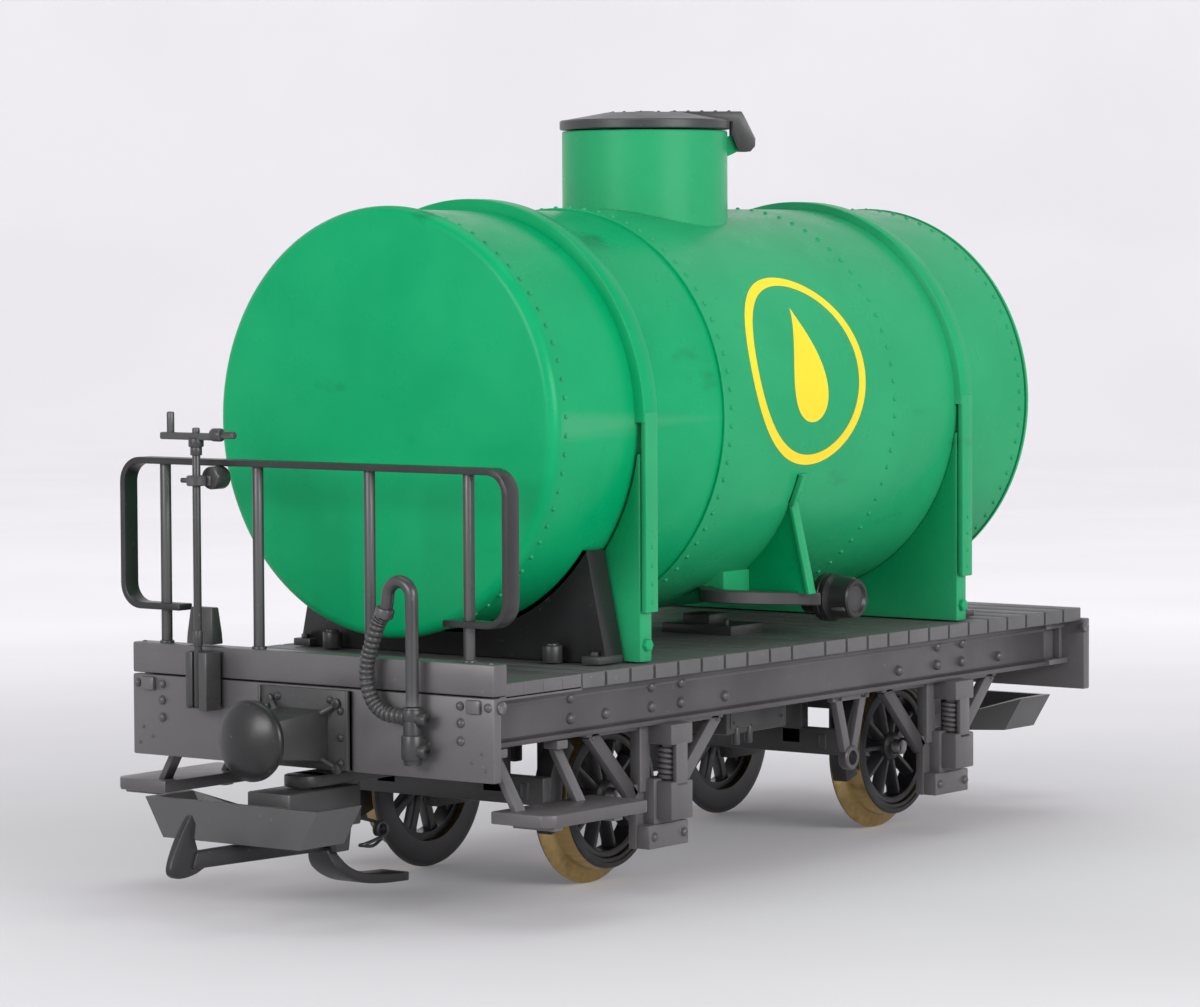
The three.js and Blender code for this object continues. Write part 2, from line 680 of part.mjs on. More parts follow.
function brakeCrank() {
  const { x, y, top } = BRAKE;
  return join(
    rod([x, y, top - 1], [x, y, top + 0.2], 1.5, 8),
    block(x - 0.9, x + 0.9, y - 5.6, y + 8.8, top - 0.2, top + 1.2),
    rod([x, y, top + 1], [x, y, top + 2.2], 0.7, 8),
    rod([x, y + 6.6, top + 1], [x, y + 6.6, top + 5.2], 0.75, 8),
    block(x - 1.3, x + 1.3, y - 6.8, y - 4.2, top - 0.4, top + 2.2),
    rod([x, y - 6.6, top + 0.9], [x, y - 10, top + 0.9], 0.75, 8),
  );
}

// Steadies the spindle under the rail, with a stop pin.
function brakeBearing() {
  const { x, y, r } = BRAKE;
  const z = RAIL.top - RAIL.thickness - GAP;
  const boss = rod([x + 0.4, y - 2.2, z - 2.4], [RAIL.x + 1.9, y - 2.2, z - 2.4], 2.3, 16);
  const ring = rod([x, y, z - 3.4], [x, y, z - 1.4], 1.9, 16);
  const pin = rod([x, y, z - 2.4], [x - 0.6, y + 3.6, z - 2.4], 0.5, 8);
  const arm = block(x, x + 2, y - 2.6, y, z - 3.4, z - 1.4);
  return cut(join(boss, ring, arm, pin), rod([x, y, z - 6], [x, y, z + 2], r + 0.15, 12));
}

// The tapered block on the platform beam, beside the spindle.
function brakePedestal() {
  const foot = BEAM.top + GAP;
  const outline = (inset) => [
    [-END_X + 0.4 + inset, BRAKE.y - 1.6 + inset],
    [-END_X + 3.6 - inset, BRAKE.y - 1.6 + inset],
    [-END_X + 3.6 - inset, BRAKE.y + 5.2 - inset],
    [-END_X + 0.4 + inset, BRAKE.y + 5.2 - inset],
  ];
  return lofted(outline(0), outline(0.6), foot, foot + 7.2);
}

// The channel on the headstock that holds the foot of the spindle.
function brakeChannel() {
  const { x, y, bottom, r } = BRAKE;
  const back = -END_X - GAP;
  return cut(
    join(
      block(back, back - 1, y - 5.4, y + 4.2, 37.7, 49.2),
      block(back, x - 0.9, y + 2.6, y + 4.2, 37.7, 49.2),
      block(back, x - 2, y - 5.4, y - 1.8, 37.7, 49.2),
      block(back, x - 2, y - 2.4, y + 3.4, 36.2, bottom - GAP),
      block(back, x - 2, y - 2.4, y + 3.4, 47.8, 49.4),
    ),
    rod([x, y, bottom - 0.1], [x, y, 60], r + 0.15, 12),
  );
}

// ---------- brake pipe ----------
const PIPE = { x: -END_X - 3, y: -28.3, r: 1.25, cockTop: 41.4, bend: 2.9, bendZ: 62 };

function brakePipe() {
  const { x, y, r, cockTop, bend, bendZ } = PIPE;
  const arc = [30, 60, 90, 120, 150].map((degrees) => {
    const angle = THREE.MathUtils.degToRad(degrees);
    return [x, y + bend - bend * Math.cos(angle), bendZ + bend * Math.sin(angle)];
  });
  const hoseTop = y + 2 * bend + 0.6;
  const pipe = swept(
    [
      [x, y, cockTop + GAP],
      [x, y, 50],
      [x, y, bendZ - 1],
      ...arc,
      [x, hoseTop - 0.4, bendZ - 1.5],
      [x, hoseTop + 0.3, bendZ - 3.5],
    ],
    r,
    22,
    4,
  );
  const hose = swept(
    [
      [x, hoseTop, bendZ - 2.6],
      [x, hoseTop + 1.3, 57],
      [x, -18.6, 53.2],
      [x, -17.4, 49.6],
      [x, -17.3, 45.6],
      [x, -18.9, 41.8],
      [x, -22, 39.9],
      [x, y + 1.9 + GAP, 39.5],
    ],
    1.55,
    20,
    4,
  );
  const ferrule = rod([x, hoseTop - 0.1, bendZ - 2.2], [x, hoseTop + 0.5, bendZ - 4], 1.85, 12);
  return join(pipe, hose, ferrule);
}

function hoseCock() {
  const { x, y, cockTop } = PIPE;
  return join(
    rod([x, y, 30.4], [x, y, cockTop], 1.85, 14),
    rod([x, y, 31.4], [x, y, 36.2], 2.2, 14),
    rod([x, y - 1, 39.2], [x, y - 3.6, 39.2], 1.3, 10),
    rod([x, y - 1, 33.2], [x, y - 3.6, 33.2], 1.4, 10),
    block(x, -END_X - GAP, y - 1.2, y + 1.2, 31.6, 35.4),
  );
}

// ---------- tank ----------
function tankBarrel() {
  const half = TANK_LENGTH / 2 - END_RIM - GAP;
  const inner = TANK_R - TANK_WALL;
  const seam = SEAM_X - TANK_X;
  const shell = turned(
    "x",
    [
      [-half, inner],
      [-half, TANK_R],
      [seam - 0.3, TANK_R],
      [seam + 0.3, TANK_R - 0.35],
      [half, TANK_R - 0.35],
      [half, inner],
      [-half, inner],
    ],
    SEGMENTS.tank,
  );
  const domeHole = rod([DOME.x - TANK_X, 0, 20], [DOME.x - TANK_X, 0, 60], DOME.r - DOME.wall, SEGMENTS.dome);
  return cut(shell, domeHole);
}

// A dished end with a rounded rim that caps the barrel.
function tankEnd(outward) {
  const at = (distance) => outward * (TANK_LENGTH / 2 - END_RIM + distance);
  const plug = TANK_R - TANK_WALL - GAP;
  const profile = [
    [at(-3), 0],
    [at(-3), plug],
    [at(0), plug],
    [at(0), TANK_R + 0.25],
    [at(END_RIM - 0.9), TANK_R + 0.25],
    [at(END_RIM), TANK_R - 1.2],
    [at(END_RIM + 1.2), TANK_R * 0.6],
    [at(END_RIM + 1.6), 0],
  ];
  return turned("x", outward > 0 ? profile : profile.reverse(), SEGMENTS.tank);
}

// A strap over the tank, whose straight ends hang down over the saddle's flanks.
function tankStrap() {
  const half = STRAP.width / 2;
  const inner = TANK_R + GAP;
  const outer = inner + STRAP.rise;
  const ring = turned(
    "x",
    [
      [-half, inner],
      [-half, outer],
      [half, outer],
      [half, inner],
      [-half, inner],
    ],
    SEGMENTS.tank,
  );
  const below = block(-half - 1, half + 1, -TANK_R * 2, TANK_R * 2, -TANK_R * 2, 0);
  const ends = [-1, 1].map((side) =>
    block(-half + 0.4, half - 0.4, side * (SADDLE.face + GAP), side * STRAP.face, STRAP.end - TANK_Z, 1),
  );
  const bore = rod([-half - 1, 0, 0], [half + 1, 0, 0], inner, SEGMENTS.tank);
  return cut(join(cut(ring, below), ends), bore);
}

// A full-width bulkhead under the tank, with a hexagonal bolt low on each flank.
function saddle() {
  const half = SADDLE.width / 2;
  const foot = DECK.top + GAP - TANK_Z;
  const { face } = SADDLE;
  const bulkhead = plate("yz", [[-face, foot], [face, foot], [face, -4], [-face, -4]], -half, half);
  const bolts = [-1, 1].map((side) => head("y", [0, side * face, foot + 3.3], 1.2, side * 1));
  const bore = rod([-half - 1, 0, 0], [half + 1, 0, 0], TANK_R + GAP, SEGMENTS.tank);
  return join(cut(bulkhead, bore), bolts);
}

function tankDome() {
  const column = (bottom, top, r) => rod([0, 0, bottom], [0, 0, top], r, SEGMENTS.dome);
  const wellR = DOME.r - DOME.wall;
  const spigotR = wellR - GAP;
  const tankSurface = rod([-50, 0, TANK_Z], [50, 0, TANK_Z], TANK_R + GAP, SEGMENTS.tank);
  const well = column(DOME.floor, DOME.top + 5, wellR);
  const hollow = column(110, DOME.floor - DOME.wall, wellR);
  const shell = cut(column(120, DOME.top, DOME.r), tankSurface, hollow);
  const spigot = cut(
    column(DOME.floor - 5, DOME.floor - 1, spigotR),
    column(DOME.floor - 6, DOME.floor - DOME.wall, spigotR - DOME.wall),
  );
  const { radius, z } = LID_PIVOT;
  const root = DOME.r - 1;
  const outline = [
    [root, z - 3.6],
    [radius, z - 1.7],
    [radius, z + 1.7],
    [root, z + 0.9],
  ];
  const lug = cut(
    join(rod([radius, -0.8, z], [radius, 0.8, z], 1.7, 16), plate("xz", outline, -0.8, 0.8)),
    rod([radius, -3, z], [radius, 3, z], 0.75, 10),
  );
  return cut(join(shell, spigot, hingeFrame(lug)), well);
}

// Turns a solid drawn with the hinge on +X to the lid's bearing.
function hingeFrame(solid) {
  return solid.transform(new THREE.Matrix4().makeRotationZ(LID_BEARING).toArray());
}

function domeLid() {
  const { r, bottom, rimTop, top, flatR } = LID;
  const { radius, z } = LID_PIVOT;
  const halfWidth = 2.3;
  const profile = [
    [bottom, 0],
    [bottom, r - 0.2],
    [bottom + 0.2, r],
    [rimTop, r],
    [top, flatR],
    [top, 0],
  ];
  const disc = turned("z", profile, SEGMENTS.dome);
  const arm = plate(
    "xz",
    [
      [6, top - 0.9],
      [6, top + 0.3],
      [19.4, top + 0.3],
      [22.7, z + 0.6],
      [22.6, z - 0.6],
      [18.4, z - 0.6],
      [18.4, rimTop - 0.1],
      [16, rimTop - 0.1],
    ],
    -halfWidth,
    halfWidth,
  );
  const knuckle = rod([radius, -halfWidth, z], [radius, halfWidth, z], 2.2, 20);
  const aroundDome = rod([0, 0, z - 8], [0, 0, bottom], r + 0.3, SEGMENTS.dome);
  const slotForLug = block(16, 26, -1.15, 1.15, z - 6, bottom + 0.6);
  const pinBore = rod([radius, -4, z], [radius, 4, z], 0.78, 10);
  return join(disc, hingeFrame(cut(join(arm, knuckle), aroundDome, slotForLug, pinBore)));
}

function hingePin() {
  const { radius, z } = LID_PIVOT;
  return hingeFrame(rod([radius, -2.3, z], [radius, 2.3, z], 0.6, 10));
}

// A black cradle against the outer side of each saddle: a thick web with sloping flanks that
// follows the barrel, a sole on the deck and two bolts. Built with the tank's end towards -X.
function cradle() {
  const half = CRADLE.width / 2;
  const foot = DECK.top + GAP - TANK_Z;
  const bore = rod([-20, 0, 0], [20, 0, 0], TANK_R + GAP, SEGMENTS.tank);
  const outline = [
    [-CRADLE.footY, foot],
    [CRADLE.footY, foot],
    [CRADLE.topY, -22],
    [-CRADLE.topY, -22],
  ];
  const web = plate("yz", outline, -half, half);
  const sole = block(-half - 3, -half + 1, -CRADLE.footY, CRADLE.footY, foot, foot + 1.2);
  const stud = (x, y, height, r, sides) => rod([x, y, foot], [x, y, foot + height], r, sides);
  const bolts = [-1, 1].map((side) => stud(-half - 1.6, side * 36, 2.4, 1.1, 6));
  const bosses = [-1, 1].map((side) => stud(-half - 3, side * 28, 3.6, 2, 12));
  return cut(join(web, sole, bolts, bosses), bore);
}

// The green sump under the middle of the tank, with the two gussets that brace it to the barrel.
function dischargeSump() {
  const bore = rod([-20, 0, 0], [20, 0, 0], TANK_R + GAP, SEGMENTS.tank);
  const bottom = 49.6 - TANK_Z;
  const sump = block(-13, 7, -30, 30, bottom, -30);
  const gusset = (side) =>
    plate(
      "yz",
      [
        [side * 20, -37.4],
        [side * 42.4, -37.4],
        [side * 38.4, -19.4],
        [side * 36.5, -19.4],
      ],
      -0.8,
      0.8,
    );
  return cut(join(sump, [-1, 1].map(gusset)), bore);
}

// The outlet: a flat pipe bent round from under the sump to a flanged valve on the near side.
function outletValve() {
  const { x, z, flangeY } = OUTLET;
  const width = 4;
  const route = (offset) => {
    const points = [
      [-24, -18 - offset],
      [-17, -32 - offset],
      [-6, -36.7 - offset],
      [x - 6, -37.2 - offset],
    ];
    return new THREE.SplineCurve(points.map((p) => new THREE.Vector2(...p))).getPoints(10);
  };
  const pipe = new THREE.Shape().setFromPoints([...route(width), ...route(0).reverse()]);
  const column = (from, to, r) => rod([x, from, z], [x, to, z], r, 24);
  return join(
    plate("xy", pipe, z - 1.3, z + 1.5),
    column(flangeY + 5.6, flangeY, 3.4),
    column(flangeY + 1.6, flangeY, 5),
    block(x - 9.5, x, flangeY + 0.3, flangeY + 3, z - 1.3, z + 1.5),
  );
}

function outletCap() {
  const { x, z, flangeY, endY } = OUTLET;
  const back = flangeY - GAP;
  const profile = [
    [endY, 0],
    [endY, 3.8],
    [endY + 0.4, 4.2],
    [back - 1.6, 4.4],
    [back - 0.8, 5],
    [back, 5],
    [back, 0],
  ];
  return turned("y", profile, 24).translate([x, 0, z]);
}

// ---------- assembly ----------
for (const end of ["front", "rear"]) {
  wheelset(end);
  axleCarrier(end);
  coupler(end);
  buffer(end);
  piece(wagon, `headstock_${end}`, headstock(end), "frameGrey");
  axleGuard(end, -1);
  axleGuard(end, 1);
}
for (const [name, side] of [["near", -1], ["far", 1]]) {
  piece(wagon, `solebar_${name}`, solebar(side), "frameGrey");
  piece(wagon, `footboard_${name}`, footboard(side), "frameGrey");
  piece(wagon, `brake_hanger_${name}`, vHanger(side), "frameGrey");
}
piece(wagon, "platform_beam", platformBeam(), "frameGrey");
piece(wagon, "platform_floor", platformFloor(), "frameGrey");
piece(wagon, "plank_deck", plankDeck(), "frameGrey");
piece(wagon, "underfloor_box", underfloorBox(), "frameGrey");
piece(wagon, "end_railing", endRailing(), "frameGrey");
piece(wagon, "brake_spindle", brakeSpindle(), "frameGrey");
piece(wagon, "brake_crank", brakeCrank(), "frameGrey");
piece(wagon, "brake_bearing", brakeBearing(), "frameGrey");
piece(wagon, "brake_pedestal", brakePedestal(), "frameGrey");
piece(wagon, "brake_channel", brakeChannel(), "frameGrey");
piece(wagon, "brake_pipe", brakePipe(), "darkGrey");
piece(wagon, "hose_cock", hoseCock(), "darkGrey");

const tank = placed(TANK_X, 0, TANK_Z);
piece(tank, "tank_barrel", tankBarrel(), "tankGreen");
piece(tank, "tank_end_front", tankEnd(-1), "tankGreen");
piece(tank, "tank_end_rear", tankEnd(1), "tankGreen");
piece(tank, "discharge_sump", dischargeSump(), "tankGreen");
for (const [end, outward] of [["front", -1], ["rear", 1]]) {
  const x = TANK_X + outward * STRAP_OFFSET;
  const cradleX = x + outward * (STRAP.width / 2 + GAP + CRADLE.width / 2);
  piece(placed(x, 0, TANK_Z), `tank_strap_${end}`, tankStrap(), "tankGreen");
  piece(placed(x, 0, TANK_Z), `saddle_${end}`, saddle(), "tankGreen");
  piece(placed(cradleX, 0, TANK_Z, outward < 0 ? 0 : Math.PI), `cradle_${end}`, cradle(), "darkGrey");
}
piece(placed(DOME.x, 0, 0), "dome", tankDome(), "tankGreen");
piece(placed(DOME.x, 0, 0), "dome_lid", domeLid(), "darkGrey");
piece(placed(DOME.x, 0, 0), "lid_hinge_pin", hingePin(), "steel");
piece(wagon, "outlet_valve", outletValve(), "darkGrey");
piece(wagon, "outlet_cap", outletCap(), "darkGrey");

// The origin is at the middle of the wagon's box, on the ground under the wheel flanges.
const box = new THREE.Box3().setFromObject(wagon, true);
wagon.position.x = -(box.min.x + box.max.x) / 2;

export default wagon;
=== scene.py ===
"""Looks of the large-scale model tank wagon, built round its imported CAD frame.

Pieces are drawn in millimetres in the wagon's own axes: X is 0 midway between the headstocks and
grows away from the platform, Y is 0 on the centre line with the outlet on -Y, and Z is up. The
camera, the studio and the textures' bumps are in metres, in the frame's axes.
"""

from math import acos, cos, degrees, hypot, pi, radians, sin

import bmesh
import bpy
from mathutils import Matrix, Quaternion, Vector


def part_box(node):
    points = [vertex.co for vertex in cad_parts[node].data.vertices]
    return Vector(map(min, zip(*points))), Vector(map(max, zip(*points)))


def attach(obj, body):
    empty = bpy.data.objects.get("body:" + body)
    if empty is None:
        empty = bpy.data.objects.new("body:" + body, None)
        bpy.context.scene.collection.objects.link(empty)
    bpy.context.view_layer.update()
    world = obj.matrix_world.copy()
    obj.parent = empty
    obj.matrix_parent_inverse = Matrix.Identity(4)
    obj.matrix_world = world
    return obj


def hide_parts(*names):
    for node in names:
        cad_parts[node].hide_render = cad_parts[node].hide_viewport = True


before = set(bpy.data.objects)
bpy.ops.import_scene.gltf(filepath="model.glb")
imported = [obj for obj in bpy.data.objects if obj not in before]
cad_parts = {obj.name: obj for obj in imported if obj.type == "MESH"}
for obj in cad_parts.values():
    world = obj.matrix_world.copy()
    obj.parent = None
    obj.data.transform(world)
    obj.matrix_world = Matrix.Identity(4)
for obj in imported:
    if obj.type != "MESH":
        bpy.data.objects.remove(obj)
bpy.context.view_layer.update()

# ---- camera

CAMERA_AT = Vector((-0.74776, -0.55269, 0.12776))
CAMERA_VIEW = Vector((0.8006, 0.5964, -0.0580))
CAMERA_ROLL = radians(-0.25)
CAMERA_LENS = 133.4


def show(name, data):
    """A new object in the scene."""
    made = bpy.data.objects.new(name, data)
    bpy.context.scene.collection.objects.link(made)
    return made


def make_camera():
    data = bpy.data.cameras.new("camera")
    data.lens = CAMERA_LENS
    data.sensor_width = 36
    data.clip_start = 0.01
    camera = show("camera", data)
    turn = CAMERA_VIEW.to_track_quat("-Z", "Y") @ Quaternion((0, 0, 1), CAMERA_ROLL)
    camera.matrix_world = Matrix.Translation(CAMERA_AT) @ turn.to_matrix().to_4x4()
    bpy.context.scene.camera = camera


make_camera()

# ---- places, from the frame

MM = 0.001
ENDS = {"front": -1, "rear": 1}
SIDES = {"near": -1, "far": 1}
BOTH = (-1, 1)


def middle_x():
    front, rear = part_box("headstock_front")[0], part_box("headstock_rear")[1]
    return (front.x + rear.x) / 2


TO_ROW = Matrix.Translation((middle_x(), 0, 0)) @ Matrix.Scale(MM, 4)
TO_WAGON = TO_ROW.inverted()


class Span:
    """A CAD node's box in millimetres."""

    def __init__(self, node):
        self.lo, self.hi = (TO_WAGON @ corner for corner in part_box(node))
        self.mid = (self.lo + self.hi) / 2
        self.size = self.hi - self.lo


AXLE_X = {end: Span(f"axle_{end}").mid.x for end in ENDS}
AXLE_Z = Span("axle_front").mid.z
FLANGE_R = Span("tyre_front_near").size.z / 2
TREAD_R = FLANGE_R - 3
END_X = Span("platform_beam").lo.x * -1
DECK = Span("plank_deck")
FLOOR = Span("platform_floor")
BEAM = Span("platform_beam")
TANK_X = (Span("tank_end_front").lo.x + Span("tank_end_rear").hi.x) / 2
TANK_Z = Span("tank_barrel").mid.z
TANK_R = Span("tank_barrel").size.y / 2
DOME = Span("dome_lid")
PIVOT_X = {end: Span(f"coupler_screw_{end}").mid.x for end in ENDS}


# ---- materials


def node_tree(name):
    material = bpy.data.materials.new(name)
    material.use_nodes = True
    tree = material.node_tree
    shader = tree.nodes["Principled BSDF"]
    return material, tree, shader


def noise(tree, scale, detail, stretch=(1, 1, 1)):
    """A noise texture that sits on the piece, with its own stretch."""
    place = tree.nodes.new("ShaderNodeTexCoord")
    mapping = tree.nodes.new("ShaderNodeMapping")
    mapping.inputs["Scale"].default_value = stretch
    made = tree.nodes.new("ShaderNodeTexNoise")
    made.inputs["Scale"].default_value = scale
    made.inputs["Detail"].default_value = detail
    tree.links.new(place.outputs["Object"], mapping.inputs["Vector"])
    tree.links.new(mapping.outputs["Vector"], made.inputs["Vector"])
    return made.outputs[0]


def ramp(tree, value, low, high, start=0.0, end=1.0):
    """Maps a texture's value from low..high to start..end."""
    node = tree.nodes.new("ShaderNodeMapRange")
    limits = {"From Min": low, "From Max": high, "To Min": start, "To Max": end}
    for socket, limit in limits.items():
        node.inputs[socket].default_value = limit
    tree.links.new(value, node.inputs["Value"])
    return node.outputs["Result"]


def mix(tree, factor, first, second):
    """Mixes two colours, each a colour or another node's output, by a node's output."""
    node = tree.nodes.new("ShaderNodeMix")
    node.data_type = "RGBA"
    tree.links.new(factor, node.inputs["Factor"])
    colour_a, colour_b, colour_out = 6, 7, 2
    for value, slot in ((first, node.inputs[colour_a]), (second, node.inputs[colour_b])):
        if isinstance(value, tuple):
            slot.default_value = (*value, 1)
        else:
            tree.links.new(value, slot)
    return node.outputs[colour_out]


def bump(tree, shader, height, distance, strength):
    node = tree.nodes.new("ShaderNodeBump")
    node.inputs["Distance"].default_value = distance
    node.inputs["Strength"].default_value = strength
    tree.links.new(height, node.inputs["Height"])
    tree.links.new(node.outputs["Normal"], shader.inputs["Normal"])


def moulded(name, colour, roughness, mottle=0.12, dust=0.25, worn=0.35, smudge=0.0, grain=1.0, shine=0.5):
    """Satin moulded plastic: slight mottling, fine grain, dust specks, worn edges and thumb smudges."""
    material, tree, shader = node_tree(name)
    darker = tuple(c * (1 - mottle) for c in colour)
    lighter = tuple(min(1.0, c * (1 + mottle) + 0.004) for c in colour)
    soft = noise(tree, 55, 4)
    shade = mix(tree, ramp(tree, soft, 0.35, 0.65), darker, lighter)
    if smudge:
        marks = noise(tree, 38, 6, (1, 1, 2.4))
        shade = mix(
            tree, ramp(tree, marks, 0.655, 0.76, 0, smudge), shade, tuple(c * 0.35 for c in colour)
        )
    edges = tree.nodes.new("ShaderNodeNewGeometry").outputs["Pointiness"]
    pale = tuple(c * 0.62 + 0.16 for c in colour)
    shade = mix(tree, ramp(tree, edges, 0.52, 0.62, 0, worn), shade, pale)
    specks = noise(tree, 950, 3)
    shade = mix(tree, ramp(tree, specks, 0.70, 0.78, 0, dust), shade, (0.42, 0.41, 0.42))
    tree.links.new(shade, shader.inputs["Base Color"])
    gloss = noise(tree, 120, 3)
    tree.links.new(
        ramp(tree, gloss, 0.3, 0.7, roughness - 0.05, roughness + 0.06), shader.inputs["Roughness"],
    )
    fine = noise(tree, 2600, 2)
    bump(tree, shader, fine, 0.00003 * grain, 0.35)
    shader.inputs["Specular IOR Level"].default_value = shine
    return material


def brushed(name, colour, roughness, stretch):
    """Bare metal with fine turning or brushing lines and a little grime."""
    material, tree, shader = node_tree(name)
    lines = noise(tree, 700, 3, stretch)
    grime = noise(tree, 160, 5)
    shade = mix(tree, ramp(tree, lines, 0.3, 0.7), tuple(c * 0.78 for c in colour), colour)
    shade = mix(tree, ramp(tree, grime, 0.55, 0.72, 0, 0.7), shade, tuple(c * 0.3 for c in colour))
    tree.links.new(shade, shader.inputs["Base Color"])
    shader.inputs["Metallic"].default_value = 1.0
    tree.links.new(ramp(tree, grime, 0.4, 0.7, roughness, roughness + 0.25), shader.inputs["Roughness"])
    bump(tree, shader, lines, 0.00002, 0.5)
    return material


GREEN = moulded("green_plastic", (0.0, 0.29, 0.105), 0.30, 0.04, 0.02, 0.2, 0.55, shine=0.12)
GREY = moulded("grey_plastic", (0.050, 0.046, 0.048), 0.35, 0.2, 0.3, 0.5)
BOARD = moulded("deck_plastic", (0.040, 0.038, 0.039), 0.47, 0.25, 0.35, 0.6, shine=0.4)
IRON = moulded("rail_plastic", (0.016, 0.0155, 0.016), 0.32, 0.2, 0.22, 0.35, shine=0.36)
DARK = moulded("dark_plastic", (0.014, 0.014, 0.015), 0.34, 0.15, 0.2, 0.35, shine=0.36)
BLACK = moulded("wheel_plastic", (0.016, 0.016, 0.018), 0.38, 0.15, 0.15, 0.3)
RUBBER = moulded("hose_plastic", (0.030, 0.029, 0.030), 0.34, 0.1, 0.2, 0.5)
YELLOW = moulded("yellow_print", (0.92, 0.60, 0.0), 0.42, 0.04, 0.03, 0.0)
BRASS = brushed("tread_brass", (0.46, 0.33, 0.14), 0.28, (1, 0.04, 1))
STEEL = brushed("screw_steel", (0.55, 0.55, 0.56), 0.3, (1, 1, 0.1))

# ---- mesh building

SHARP = radians(32)
AXES = {
    "x": Matrix(((0, 0, 1, 0), (1, 0, 0, 0), (0, 1, 0, 0), (0, 0, 0, 1))),
    "y": Matrix(((0, 1, 0, 0), (0, 0, 1, 0), (1, 0, 0, 0), (0, 0, 0, 1))), "z": Matrix.Identity(4),
}
PLANES = {"yz": AXES["x"], "zx": AXES["y"], "xy": AXES["z"]}


def smooth_route(points, steps):
    """A Catmull-Rom curve through the points."""
    points = [Vector(p) for p in points]
    ends = [2 * points[0] - points[1], *points, 2 * points[-1] - points[-2]]
    route = []
    for a, b, c, d in zip(ends, ends[1:], ends[2:], ends[3:]):
        for i in range(steps):
            t = i / steps
            route.append(
                0.5 * (
                    2 * b + (c - a) * t + (
                        2 * a - 5 * b + 4 * c - d
                    ) * t**2 + (3 * b - a - 3 * c + d) * t**3
                )
            )
    return [*route, points[-1]]


def arc(centre, radius, start, end, steps):
    """Points on a circle in a plane, by angle in degrees."""
    angles = [radians(start + (end - start) * i / steps) for i in range(steps + 1)]
    return [(centre[0] + radius * cos(a), centre[1] + radius * sin(a)) for a in angles]


